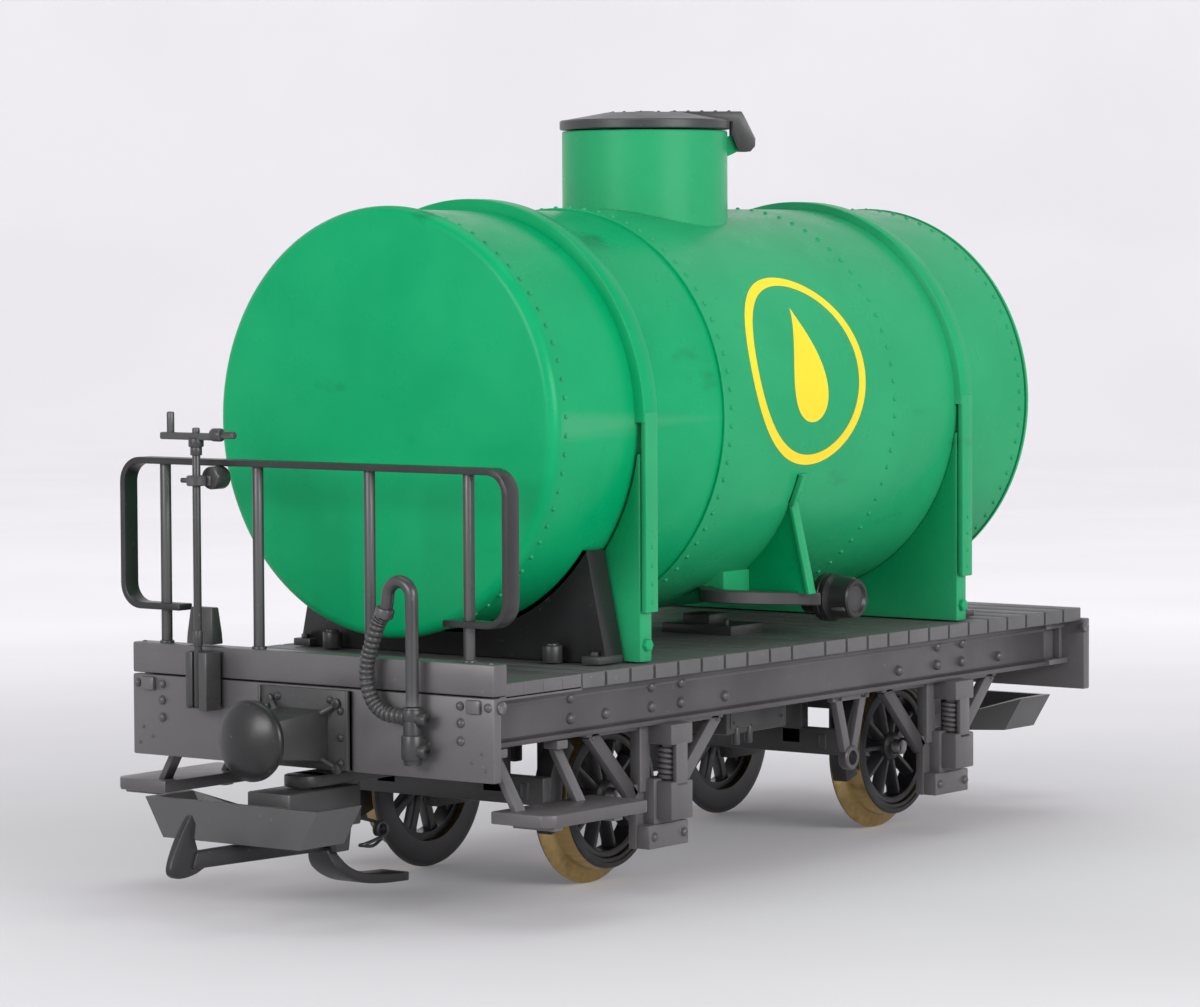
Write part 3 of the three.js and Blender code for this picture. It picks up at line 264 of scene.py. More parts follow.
class Piece:
    """A mesh in the making, in wagon millimetres, that becomes one object riding on one body."""

    def __init__(self, name, place=None):
        self.name = name
        self.mesh = bmesh.new()
        self.place = place or Matrix.Identity(4)

    def _add(self, part, bevel=0.0):
        bmesh.ops.recalc_face_normals(part, faces=part.faces)
        if bevel:
            sharp = [e for e in part.edges if len(e.link_faces) == 2 and e.calc_face_angle(0) > SHARP]
            bmesh.ops.bevel(
                part, geom=sharp, offset=bevel, segments=2, profile=0.5, affect="EDGES",
                clamp_overlap=True,
            )
        part.transform(self.place)
        if self.place.determinant() < 0:
            bmesh.ops.reverse_faces(part, faces=part.faces)
        made = bpy.data.meshes.new("part")
        part.to_mesh(made)
        part.free()
        self.mesh.from_mesh(made)
        bpy.data.meshes.remove(made)
        return self

    def box(self, lo, hi, bevel=0.2):
        """A block between two corners, given in any order."""
        part = bmesh.new()
        bmesh.ops.create_cube(part, size=1)
        lo, hi = Vector(lo), Vector(hi)
        size = Vector(abs(h - l) for l, h in zip(lo, hi))
        part.transform(Matrix.Translation((lo + hi) / 2) @ Matrix.Diagonal((*size, 1)))
        return self._add(part, bevel)

    def prism(self, plane, outline, depth, bevel=0.2):
        """A flat outline, drawn in one plane, from one depth to another."""
        part = bmesh.new()
        face = part.faces.new([part.verts.new((u, v, depth[0])) for u, v in outline])
        grown = bmesh.ops.extrude_face_region(part, geom=[face])
        moved = [g for g in grown["geom"] if isinstance(g, bmesh.types.BMVert)]
        bmesh.ops.translate(part, verts=moved, vec=(0, 0, depth[1] - depth[0]))
        part.transform(PLANES[plane])
        return self._add(part, bevel)

    def loft(self, rings, bevel=0.0, closed=True):
        """A skin over rings that all have the same number of points."""
        part = bmesh.new()
        rows = [[part.verts.new(p) for p in ring] for ring in rings]
        for row, after in zip(rows, rows[1:]):
            for i in range(len(row)):
                j = (i + 1) % len(row)
                part.faces.new((row[i], row[j], after[j], after[i]))
        if closed:
            part.faces.new(rows[0][::-1])
            part.faces.new(rows[-1])
        return self._add(part, bevel)

    def lathe(self, axis, centre, profile, sides=48, sweep=(0, 360)):
        """A body of revolution: profile lists (distance along the axis, radius)."""
        part = bmesh.new()
        whole = sweep == (0, 360)
        count = sides if whole else sides + 1
        columns = []
        for i in range(count):
            angle = radians(sweep[0] + (sweep[1] - sweep[0]) * i / sides)
            columns.append(
                [part.verts.new((r * cos(angle), r * sin(angle), along)) for along, r in profile]
            )
        loops = list(
            zip(columns, columns[1:] + columns[:1])
        ) if whole else list(zip(columns, columns[1:]))
        for column, after in loops:
            for i in range(len(profile) - 1):
                part.faces.new((column[i], after[i], after[i + 1], column[i + 1]))
        if not whole:
            part.faces.new(columns[0])
            part.faces.new(columns[-1][::-1])
        bmesh.ops.remove_doubles(part, verts=part.verts, dist=1e-5)
        bmesh.ops.dissolve_degenerate(part, edges=part.edges, dist=1e-6)
        part.transform(Matrix.Translation(centre) @ AXES[axis])
        return self._add(part)

    def _facing(self, at, direction, draw):
        """Draws with 0 moved to a place and +Z turned to a direction."""
        place = self.place
        turn = Vector(direction).to_track_quat("Z", "Y").to_matrix().to_4x4()
        self.place = place @ Matrix.Translation(at) @ turn
        draw()
        self.place = place
        return self

    def bar(self, start, end, r, sides=20, bevel=0.15):
        """A round bar between two points, with rounded rims."""
        span = Vector(end) - Vector(start)
        b = min(bevel, r * 0.4, span.length * 0.3)
        rim = [(0, r - b), (b * 0.3, r - b * 0.3), (b, r)]
        profile = [
            (0, 0), *rim, *[(span.length - along, width) for along, width in rim[::-1]], (span.length, 0),
        ]
        return self._facing(start, span, lambda: self.lathe("z", (0, 0, 0), profile, sides))

    def tube(self, points, radius, sides=14, steps=8):
        """A round bar along a smooth route; radius is a number or a function of 0..1."""
        route = smooth_route(points, steps)
        size = radius if callable(radius) else lambda t: radius
        up = Vector((0, 0, 1)) if abs((route[1] - route[0]).normalized().z) < 0.9 else Vector((1, 0, 0))
        rings = []
        for i, point in enumerate(route):
            ahead = (route[min(i + 1, len(route) - 1)] - route[max(i - 1, 0)]).normalized()
            side = ahead.cross(up).normalized()
            up = side.cross(ahead).normalized()
            r = size(i / (len(route) - 1))
            ring = []
            for k in range(sides):
                a = 2 * pi * k / sides
                ring.append(point + r * (side * cos(a) + up * sin(a)))
            rings.append(ring)
        return self.loft(rings)

    def dome(self, at, facing, r, height, sides=12):
        """A round rivet head standing on a face and sunk a little into it."""
        sunk = 0.15
        crown = [(height * sin(a), r * cos(a)) for a in (0, 0.45, 0.9, 1.25, pi / 2)]
        profile = [(-sunk, 0), (-sunk, r), *crown]
        return self._facing(at, facing, lambda: self.lathe("z", (0, 0, 0), profile, sides))

    def hexagon(self, at, facing, r, height):
        """A hexagonal bolt head with a chamfered crown."""
        corners = [(cos(k * pi / 3), sin(k * pi / 3)) for k in range(6)]
        sizes = ((-0.1, r), (height * 0.75, r), (height, r * 0.86))
        rings = [[(size * u, size * v, along) for u, v in corners] for along, size in sizes]
        return self._facing(at, facing, lambda: self.loft(rings, bevel=0.08))

    def done(self, materials, replaces=(), body="wagon"):
        data = bpy.data.meshes.new(self.name)
        self.mesh.transform(TO_ROW)
        self.mesh.to_mesh(data)
        self.mesh.free()
        for material in materials if isinstance(materials, tuple) else (materials,):
            data.materials.append(material)
        data.shade_smooth()
        data.set_sharp_from_angle(angle=SHARP)
        made = show(self.name, data)
        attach(made, body)
        if replaces:
            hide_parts(*replaces)
        return made


def turned_to(x, end):
    """A place for a fitting that is drawn pointing to -X from 0, at the front or the rear end."""
    return Matrix.Translation((x, 0, 0)) @ Matrix.Rotation(0 if end == "front" else pi, 4, "Z")


# ---- tank

RIVETS_ROUND = 72
SEAM_X = TANK_X - 30.5
RIVET_ROWS = (SEAM_X + 2.3, SEAM_X + 62.4)
LAP = 0.55


def rivets_round(piece, x, radius, r=0.5, height=0.42):
    for i in range(RIVETS_ROUND):
        angle = 2 * pi * (i + 0.5) / RIVETS_ROUND
        out = Vector((0, cos(angle), sin(angle)))
        at = Vector((x, 0, TANK_Z)) + out * radius
        near_dome = hypot(at.x - DOME.mid.x, at.y) < 18 and at.z > TANK_Z
        if not near_dome:
            piece.dome(at, out, r, height, 8)


def tank_barrel():
    barrel = Span("tank_barrel")
    wall = 1.8
    lo, hi = barrel.lo.x, barrel.hi.x
    inner = TANK_R - wall
    piece = Piece("tank_barrel_skin")
    profile = [
        (lo, inner), (lo, TANK_R - LAP - 0.1), (lo + 0.1, TANK_R - LAP), (SEAM_X - 0.02, TANK_R - LAP),
        (SEAM_X, TANK_R - 0.1), (SEAM_X + 0.12, TANK_R), (hi - 0.1, TANK_R), (hi, TANK_R - 0.1),
        (hi, inner), (lo, inner),
    ]
    piece.lathe("x", (0, 0, TANK_Z), profile, 160)
    rivets_round(piece, lo + 2.2, TANK_R - LAP)
    for x in (*RIVET_ROWS, hi - 2.2):
        rivets_round(piece, x, TANK_R)
    # A small riveted lug on the near side, over the sump's brace.
    angle = radians(-22)
    out = Vector((0, -cos(angle), sin(angle)))
    place = Matrix.Translation(Vector((TANK_X - 1.2, 0, TANK_Z)) + out * TANK_R)
    piece.place = place @ out.to_track_quat("Z", "Y").to_matrix().to_4x4()
    piece.box((-0.5, -3.4, -0.3), (0.5, 3.4, 1.3), 0.2)
    piece.box((-0.5, -3.4, -0.3), (2.6, 3.4, 0.3), 0.12)
    for y in (-1.8, 1.8):
        piece.dome((1.6, y, 0.3), (0, 0, 1), 0.45, 0.35, 10)
    piece.done(GREEN, ["tank_barrel"])


def tank_end(end):
    outward = ENDS[end]
    node = Span(f"tank_end_{end}")
    tip = node.hi.x if outward > 0 else node.lo.x
    rim = TANK_R + 0.25
    crown, corner = 1.6, 2.2

    def at(depth):
        return tip - outward * depth

    profile = [(at(7), 0), (at(7), TANK_R - 2.1), (at(4), TANK_R - 2.1), (at(4), rim)]
    for i in range(9):
        a = pi / 2 * i / 8
        profile.append((at(crown + corner * (1 - sin(a))), rim - corner * (1 - cos(a))))
    for i in range(1, 15):
        t = 1 - i / 14
        profile.append((at(crown * t * t), (rim - corner) * t))
    piece = Piece(f"tank_end_{end}_skin")
    piece.lathe("x", (0, 0, TANK_Z), profile, 160)
    piece.done(GREEN, [f"tank_end_{end}"])


def tank_strap(end):
    node = Span(f"tank_strap_{end}")
    x0, x1 = node.lo.x, node.hi.x
    inner, outer = TANK_R - 0.7, TANK_R + 1.7
    face = node.hi.y
    piece = Piece(f"tank_strap_{end}_band")
    e = 0.3
    profile = [
        (x0, inner), (x0, outer - e), (x0 + e * 0.3, outer - e * 0.3), (x0 + e, outer), (x1 - e, outer),
        (x1 - e * 0.3, outer - e * 0.3), (x1, outer - e), (x1, inner), (x0, inner),
    ]
    piece.lathe("x", (0, 0, TANK_Z), profile, 96, sweep=(0, 180))
    for side in BOTH:
        piece.box((x0 + 0.3, side * 42.7, node.lo.z), (x1 - 0.3, side * face, TANK_Z + 2), 0.3)
        for z in range(4):
            piece.dome((node.mid.x, side * face, node.lo.z + 2 + 3.6 * z), (0, side, 0), 0.42, 0.3, 10)
    piece.done(GREEN, [f"tank_strap_{end}"])


def saddle(end):
    node = Span(f"saddle_{end}")
    face = node.hi.y - 1
    reach = TANK_R + 0.1
    piece = Piece(f"saddle_{end}_plate")
    top = TANK_Z - 4
    angle = degrees(acos(min(1, (TANK_Z - top) / reach)))
    curve = arc((0, TANK_Z), reach, -90 + angle - 3, -90 - angle + 3, 40)
    outline = [(-face, node.lo.z), (face, node.lo.z), (face, curve[0][1]), *curve, (-face, curve[-1][1])]
    piece.prism("yz", outline, (node.lo.x, node.hi.x), 0.22)
    for side in BOTH:
        piece.hexagon((node.mid.x, side * face, node.lo.z + 3.3), (0, side, 0), 1.3, 1.0)
    piece.done(GREEN, [f"saddle_{end}"])


def cradle(end):
    node = Span(f"cradle_{end}")
    outward = ENDS[end]
    back = node.hi.x if outward < 0 else node.lo.x
    mirrored = Matrix.Scale(-outward, 4, (1, 0, 0))
    piece = Piece(f"cradle_{end}_block", Matrix.Translation((back, 0, 0)) @ mirrored)
    foot_y, top_y, depth = node.hi.y, 34.2, 5.8
    z = node.lo.z
    curve = arc((0, TANK_Z), TANK_R + 0.3, -90 + 54, -90 - 54, 30)
    outline = [(-foot_y, z), (foot_y, z), (top_y, curve[0][1]), *curve, (-top_y, curve[-1][1])]
    piece.prism("yz", outline, (-depth, 0), 0.25)
    for side in BOTH:
        piece.box((-depth - 2.4, side * 34.6, z), (-0.4, side * foot_y, z + 1.5), 0.25)
        piece.hexagon((-depth - 1.1, side * 36.8, z + 1.5), (0, 0, 1), 0.9, 0.9)
        piece.bar((-depth - 3, side * 28, z), (-depth - 3, side * 28, z + 3.4), 2, 28, 0.3)
        piece.bar((-depth - 3, side * 28, z + 3), (-depth - 3, side * 28, z + 3.8), 1.3, 24, 0.2)
    piece.done(DARK, [f"cradle_{end}"])


def sump():
    node = Span("discharge_sump")
    z = node.lo.z
    piece = Piece("sump_block")
    x0, x1 = node.lo.x, node.hi.x
    piece.box((x0 + 3.2, -27.2, z + 5.6), (x1 + 12, 27.2, z + 11), 0.6)
    for side in BOTH:
        # The brace is a thin web with a flat strip along its sloping edge.
        foot, crown = (side * 42.4, TANK_Z - 37.4), (side * 37.9, TANK_Z - 18.4)
        curve = arc((0, TANK_Z), TANK_R - 0.5, -90 + side * 60, -90 + side * 29, 14)
        outline = [(side * 20, foot[1]), foot, crown, *curve]
        piece.prism("yz", outline, (TANK_X - 0.7, TANK_X + 0.7), 0.15)
        lean = Vector((0, crown[0] - foot[0], crown[1] - foot[1]))
        out = Vector((0, side * abs(lean.z), abs(lean.y))).normalized()
        rings = []
        for y, height in (foot, crown):
            edge = Vector((TANK_X, y, height))
            rings.append(
                [
                    edge + Vector((1.3, 0, 0)) + out * 0.25, edge + Vector((-1.3, 0, 0)) + out * 0.25,
                    edge + Vector((-1.3, 0, 0)) - out * 0.6, edge + Vector((1.3, 0, 0)) - out * 0.6,
                ]
            )
        piece.loft(rings, 0.15)
    piece.done(GREEN, ["discharge_sump"])


HINGE_R = 20.5
HINGE_Z = 149.4
DOME_R = 17.4


def dome():
    node = Span("dome")
    x, r, top = DOME.mid.x, DOME_R, node.hi.z
    well, floor = r - 1.8, 137.6
    piece = Piece("dome_shell")
    profile = [
        (TANK_Z + 36, 0), (TANK_Z + 36, r), (top - 0.25, r), (top, r - 0.25), (top, well + 0.25),
        (top - 0.25, well), (floor + 0.4, well), (floor, well - 0.4), (floor, 0),
    ]
    piece.lathe("z", (x, 0, 0), profile, 96)
    piece.place = hinge_place()
    outline = [(145.8, r - 1), (147.7, HINGE_R), (151.1, HINGE_R), (150.3, r - 1)]
    piece.prism("zx", outline, (-0.8, 0.8), 0.1)
    piece.bar((HINGE_R, -0.8, HINGE_Z), (HINGE_R, 0.8, HINGE_Z), 1.7, 24, 0.1)
    piece.done(GREEN, ["dome"])


def hinge_place():
    """The lid's hinge lies on the dome's -Y, +X side: pieces are drawn with it on +X."""
    return Matrix.Translation((DOME.mid.x, 0, 0)) @ Matrix.Rotation(-pi / 4, 4, "Z")


def lid():
    bottom, rim, top = DOME.lo.z + 4.7, 153.9, 155.5
    r, flat = DOME.size.x / 2, 8.4
    piece = Piece("lid_cover", hinge_place())
    profile = [
        (bottom, 0), (bottom, r - 0.25), (bottom + 0.25, r), (rim - 0.3, r), (rim, r - 0.3),
        (rim + 0.05, r - 0.9), (top - 0.1, flat + 0.5), (top, flat), (top, 0),
    ]
    piece.lathe("z", (0, 0, 0), profile, 128)
    half = 2.3
    arm = [
        (top - 0.9, 5), (rim - 0.3, 16), (rim - 0.3, 18.4), (HINGE_Z + 1.2, 18.4), (HINGE_Z - 1.5, 19.4),
        (HINGE_Z - 2.1, 20.2), (HINGE_Z - 2.1, 22.2), (HINGE_Z - 1.0, 23.2), (HINGE_Z + 0.6, 23.3),
        (top - 0.7, 20.9), (top + 0.25, 20.3), (top + 0.25, 5),
    ]
    for y0, y1 in ((-half, -1.15), (1.15, half)):
        piece.prism("zx", arm, (y0, y1), 0.16)
    piece.box((5, -1.3, top - 0.9), (19.3, 1.3, top + 0.25), 0.1)
    for k in range(5):
        piece.dome((6.4 + 2.9 * k, 0, top + 0.25), (0, 0, 1), 0.42, 0.3, 12)
    for k in range(12):
        a = radians(30 * k + 15)
        at = (flat * 0.86 * cos(a), flat * 0.86 * sin(a), top)
        if abs(at[1]) > 2.8 or at[0] < 0:
            piece.dome(at, (0, 0, 1), 0.38, 0.26, 10)
    piece.bar((0, 0, top - 0.1), (0, 0, top + 0.3), 2.2, 32, 0.15)
    piece.done(DARK, ["dome_lid"], "lid")

    pin = Piece("lid_pin", hinge_place())
    pin.bar((HINGE_R, -2.25, HINGE_Z), (HINGE_R, 2.25, HINGE_Z), 0.6, 20, 0.1)
    pin.done(STEEL, ["lid_hinge_pin"])


def outlet():
    cap = Span("outlet_cap")
    x, z = cap.mid.x, cap.mid.z
    front, back = cap.lo.y, cap.hi.y
    piece = Piece("outlet_pipe")
    route = smooth_route(
        [
            (-7, -22, z + 1.6), (-12.5, -26.4, z + 1.5), (-11.8, -32, z + 1.3), (-4.5, -37, z + 0.8),
            (x - 5, -39, z),
        ],
        8,
    )
    rings = []
    for i, at in enumerate(route):
        ahead = route[min(i + 1, len(route) - 1)] - route[max(i - 1, 0)]
        side = Vector((ahead.y, -ahead.x, 0)).normalized()
        under = [(-1.8, -1.1), (-1.5, -1.35), (1.5, -1.35), (1.8, -1.1)]
        section = [*under, *[(-u, -v) for u, v in under]]
        rings.append([at + side * u + Vector((0, 0, v)) for u, v in section])
    piece.loft(rings)
    piece.box((x - 6.5, back + 0.5, z - 1.4), (x, back + 3.8, z + 1.4), 0.3)
    flange = [(0.3, 0), (0.3, 4.8), (0.5, 5.0), (1.7, 5.0), (1.9, 4.8)]
    neck = [(2.0, 3.6), (2.6, 3.4), (5.8, 3.4), (6, 3.2), (6, 0)]
    piece.lathe("y", (x, 0, z), [(back + along, r) for along, r in flange + neck], 64)
    bolt_circle = 4.1
    for k in range(6):
        a = radians(60 * k + 30)
        at = (x + bolt_circle * cos(a), back + 1.95, z + bolt_circle * sin(a))
        piece.hexagon(at, (0, 1, 0), 0.55, 0.5)
    piece.done(DARK, ["outlet_valve"])

    piece = Piece("outlet_cover")
    face = [(0.5, 0), (0.5, 2.6), (0.25, 2.9), (0, 3.2), (0, 3.75), (0.35, 4.1)]
    skirt = [(2.3, 4.3), (1.5, 4.5), (0.9, 4.95), (0, 5.0), (0, 0)]
    profile = [(front + along, r) for along, r in face] + [(back - along, r) for along, r in skirt]
    piece.lathe("y", (x, 0, z), profile, 64)
    for k in range(3):
        a = radians(120 * k + 90)
        ear = Vector((cos(a), 0, sin(a)))
        centre = Vector((x, 0, z))
        foot, tip = (centre + ear * 3.9 + Vector((0, y, 0)) for y in (back - 2.4, front + 0.8))
        piece.bar(foot, tip, 0.55, 12, 0.1)
    piece.done(DARK, ["outlet_cap"])


# ---- emblem

EMBLEM_X = TANK_X + 1.0
EMBLEM_ANGLE = 13.0  # the middle of the emblem, in degrees above the tank's centre line


def on_barrel(u, v, lift):
    """A point on the near side of the barrel: u along the tank, v upwards along its curve."""
    angle = radians(EMBLEM_ANGLE) + v / TANK_R
    reach = TANK_R + lift
    return Vector((EMBLEM_X + u, -reach * cos(angle), TANK_Z + reach * sin(angle)))


def emblem():
    """A plain oval line round a plain drop."""
    piece = Piece("tank_print")
    count = 96
    oval = [(cos(2 * pi * k / count), sin(2 * pi * k / count)) for k in range(count)]
    sections = []
    for c, s in [*oval, oval[0]]:
        outer, inner = (20.6 * c, 20.5 * s), (18.3 * c, 18.4 * s)
        corners = ((outer, -0.1), (outer, 0.05), (inner, 0.05), (inner, -0.1))
        sections.append([on_barrel(*p, lift) for p, lift in corners])
    piece.loft(sections, closed=False)
    rows = 40
    sections = []
    for k in range(rows + 1):
        t = 0.06 + (pi - 0.12) * k / rows
        half = 8.6 * sin(t) * sin(t / 2) ** 1.6 + 0.05
        v = 0.6 + 12.2 * cos(t)
        sections.append([on_barrel(u * half / 4, v, 0.05) for u in range(-4, 5)])
        sections[-1] += [on_barrel(u * half / 4, v, -0.1) for u in range(4, -5, -1)]
    piece.loft(sections)
    piece.done(YELLOW)


# ---- deck and frame


def plank_deck():
    z0, z1 = DECK.lo.z, DECK.hi.z
    half = DECK.hi.y
    slab_top = z1 - 1.7
    piece = Piece("deck_boards")
    piece.box((DECK.lo.x, -half + 1.6, z0), (DECK.hi.x, half - 1.6, slab_top), 0)
    pitch, gap, wide = 7.95, 0.75, 1.53
    x = DECK.lo.x
    index = 0
    while x < DECK.hi.x - 1:
        length = pitch * (wide if index == 9 else 1)
        piece.box((x, -half, z0 + 0.3), (x + length - gap, half, z1), 0.22)
        x += length
        index += 1
    piece.done(BOARD, ["plank_deck"])

    piece = Piece("deck_valve")
    piece.box((3, -21, z1 - 0.2), (15, -3, z1 + 2), 0.3)
    piece.box((5, -14, z1 + 1.8), (12, -7, z1 + 4), 0.3)
    piece.bar((4, -19, z1 + 1.8), (4, -19, z1 + 3.2), 0.6, 16, 0.15)
    piece.done(DARK)


def platform():
    piece = Piece("platform_boards")
    piece.box((FLOOR.lo.x, -FLOOR.hi.y, FLOOR.lo.z), (FLOOR.hi.x, FLOOR.hi.y, 43.7), 0.1)
    piece.box(
        (BEAM.hi.x + 0.3, -FLOOR.hi.y, FLOOR.lo.z + 0.2), (FLOOR.hi.x, FLOOR.hi.y, FLOOR.hi.z), 0.25,
    )
    for k in range(3):
        x = BEAM.hi.x + 6 + 6 * k
        for side in BOTH:
            low = (x, side * (FLOOR.hi.y - 1), FLOOR.lo.z + 0.8)
            high = (x + 0.4, side * (FLOOR.hi.y + 0.08), FLOOR.hi.z - 0.4)
            piece.box(low, high, 0.08)
    piece.done(GREY, ["platform_floor"])

    piece = Piece("beam_block")
    piece.box(BEAM.lo, BEAM.hi, 0.35)
    for side in BOTH:
        piece.dome((BEAM.lo.x + 1.6, side * (BEAM.hi.y - 1.8), BEAM.hi.z), (0, 0, 1), 0.5, 0.3, 12)
    piece.done(GREY, ["platform_beam"])


def headstock(end):
    piece = Piece(f"headstock_{end}_plate", turned_to(ENDS[end] * END_X, end))
    half, bottom, top, thick = 45.3, 27.7, 43.6, 2.4
    piece.box((0, -half, bottom), (thick, half, top), 0.3)
    for side in BOTH:
        for z in (38.7, 35.3):
            piece.dome((0, side * 37.5, z), (-1, 0, 0), 0.95, 0.75, 16)
        for y, z in ((40.2, 31.4), (42.6, 33.2), (43.6, 30.0)):
            piece.dome((0, side * y, z), (-1, 0, 0), 0.35, 0.25, 10)
        piece.box((-0.9, side * 39.2, 40.6), (0.4, side * 42.4, 43.2), 0.3)
        piece.dome((0, side * 37.4, 41.9), (-1, 0, 0), 0.9, 0.8, 16)
        piece.dome((0, side * 44.0, 41.9), (-1, 0, 0), 0.9, 0.8, 16)
        piece.bar((2.2, side * 44.9, 41.8), (2.2, side * 45.9, 41.8), 1.25, 20, 0.35)
    piece.done(GREY, [f"headstock_{end}"])


BOLTS_FROM_AXLE = ((-20.2, 37.0), (20.2, 37.0), (-5, 37.0), (-5, 41.0), (5, 37.0), (5, 41.0))


def solebar(name):
    side = SIDES[name]
    node = Span(f"solebar_{name}")
    start, end, bottom, top = node.lo.x, node.hi.x, node.lo.z, node.hi.z
    lip, face, inner, flange = 41.3, 39.8, 37.2, 1.2
    recess = end - 8
    section = [
        (inner, bottom), (lip, bottom), (lip, bottom + flange * 0.8), (face + 0.35, bottom + flange),
        (face, bottom + flange + 0.35), (face, top - flange - 0.3), (face + 0.3, top - flange),
        (face + 0.7, top - flange * 0.7), (face + 0.7, top), (inner, top),
    ]
    piece = Piece(f"solebar_{name}_beam")
    piece.prism("yz", [(side * y, z) for y, z in section], (start, recess), 0.14)
    for z0, z1, width in ((bottom, bottom + flange, lip), (top - flange, top, face + 0.7)):
        piece.box((recess - 0.2, side * inner, z0), (end, side * width, z1), 0.14)
    piece.box((recess - 0.2, side * inner, bottom), (end, side * (inner + 0.8), top), 0.1)
    piece.box((end - 1.2, side * inner, bottom), (end, side * face, top), 0.14)
    bolts = [(x + dx, z) for x in AXLE_X.values() for dx, z in BOLTS_FROM_AXLE]
    for x, z in [*bolts, (-78, 37.0), (-78, 41.0)]:
        piece.dome((x, side * face, z), (0, side, 0), 1.15, 0.95, 18)
    piece.done(GREY, [f"solebar_{name}"])


def axle_guard(end, name):
    side = SIDES[name]
    node = Span(f"axle_guard_{end}_{name}")
    piece = Piece(f"guard_{end}_{name}", Matrix.Translation((AXLE_X[end], 0, 0)))
    back, face, keeper, box_face = 35.6, 37.5, 40.5, 43.8
    top = node.hi.z

    def block(x0, x1, y0, y1, z0, z1, bevel=0.2):
        piece.box((x0, side * y0, z0), (x1, side * y1, z1), bevel)

    outline = [(8.8, -7), (8.8, 7), (19, 7), (21.6, 8.2), (21.6, -8.2), (19, -7)]
    piece.prism("zx", outline, (side * back, side * face), 0.2)
    for way in BOTH:
        high, low, half = Vector((way * 21.3, top - 0.5)), Vector((way * 7, 19)), 1.5
        across = Vector((-(high - low).y, (high - low).x)).normalized() * half
        bar = [high + across, high - across, low - across, low + across]
        piece.prism("zx", [(p.y, p.x) for p in bar], (side * back, side * face), 0.2)
        block(way * 3, way * 6.4, back, face + 0.6, 20, top)
        piece.dome((way * 5, side * keeper, 11.2), (0, side, 0), 0.95, 0.8, 14)
        piece.dome((way * 21, side * face, top - 1.4), (0, side, 0), 0.5, 0.35, 10)
    block(-23, 23, back, face, top - 1.2, top)
    block(-3.6, 3.6, face - 1, box_face, 29.4, top, 0.3)
    block(-1.9, 1.9, box_face - 1.1, box_face, 21, 30, 0.25)
    block(-3.6, 3.6, face - 1, box_face, 14.5, 22.1, 0.35)
    block(-6.6, 6.6, face - 1, keeper, 8.8, 13.6, 0.3)
    block(-4.4, 4.4, face - 1, keeper - 0.4, 13, 22.6, 0.3)
    # The coil spring between the axlebox and the block above it.
    low, high, turns, wire, coil = 22.0, 29.6, 6.5, 0.5, 1.85
    points = []
    for k in range(int(turns * 14) + 1):
        a = 2 * pi * k / 14
        z = low + 0.3 + (high - low - 0.6) * k / (turns * 14)
        points.append((coil * cos(a), side * (40.4 + coil * sin(a)), z))
    piece.tube(points, wire, 8, 1)
    piece.bar((0, side * 40.4, low - 0.3), (0, side * 40.4, high + 0.3), 1.35, 20)
    piece.done(GREY, [f"axle_guard_{end}_{name}"])


def footboard(name):
    side = SIDES[name]
    node = Span(f"footboard_{name}")
    x0, x1 = node.lo.x, node.hi.x
    top, thick, inner, outer, corner = 21.9, 2.4, 41, 55, 2
    outline = [
        (x0, inner), (x1, inner), (x1, outer - 0.6), (x1 - 0.6, outer), (x0 + corner, outer),
        (x0, outer - corner),
    ]
    piece = Piece(f"footboard_{name}_step")
    piece.prism("xy", [(x, side * y) for x, y in outline], (top - thick, top), 0.3)
    for k in range(6):
        y = inner + 2 + 2.05 * k
        piece.box((x0 + 2.4, side * y, top - 0.5), (x1 - 1.6, side * (y + 0.8), top - 0.02), 0.1)
    upper, lower = node.hi.z, top - 0.6
    for x in (x0 + 4, x0 + 22.8):
        strap = [(38.6, upper), (37.2, upper), (44.0, lower), (45.6, lower)]
        piece.prism("yz", [(side * y, z) for y, z in strap], (x - 1.4, x + 1.4), 0.2)
        piece.box((x - 1.7, side * 37.4, upper - 1.7), (x + 1.7, side * 40.8, upper), 0.2)
        piece.box((x - 1.4, side * 44.2, lower - 2.6), (x + 1.4, side * 54, top - thick + 0.2), 0.2)
    piece.done(GREY, [f"footboard_{name}"])


def brake_hanger(name):
    side = SIDES[name]
    node = Span(f"brake_hanger_{name}")
    x, eye_r = node.mid.x, 2.6
    eye_z, top = node.lo.z + eye_r, node.hi.z
    piece = Piece(f"hanger_{name}_vee")
    inner, outer = side * 35.8, side * 37.4
    for way in BOTH:
        high, low, half = Vector((x + way * 4.8, top - 0.5)), Vector((x + way * 1.2, eye_z + 1.6)), 1.15
        across = Vector((-(high - low).y, (high - low).x)).normalized() * half
        bar = [high + across, high - across, low - across, low + across]
        piece.prism("zx", [(p.y, p.x) for p in bar], (inner, outer), 0.2)
        piece.dome((x + way * 5.6, side * 37.4, top - 0.7), (0, side, 0), 0.45, 0.3, 10)
    piece.box((x - 7, inner, top - 1.4), (x + 7, outer, top), 0.2)
    wall = [
        (35.6, 1.55), (35.6, 2.35), (35.85, 2.6), (37.55, 2.6), (37.8, 2.35), (37.8, 1.55), (35.6, 1.55),
    ]
    piece.lathe("y", (x, 0, eye_z), [(side * y, r) for y, r in wall[::side]], 40)
    piece.done(GREY, [f"brake_hanger_{name}"])


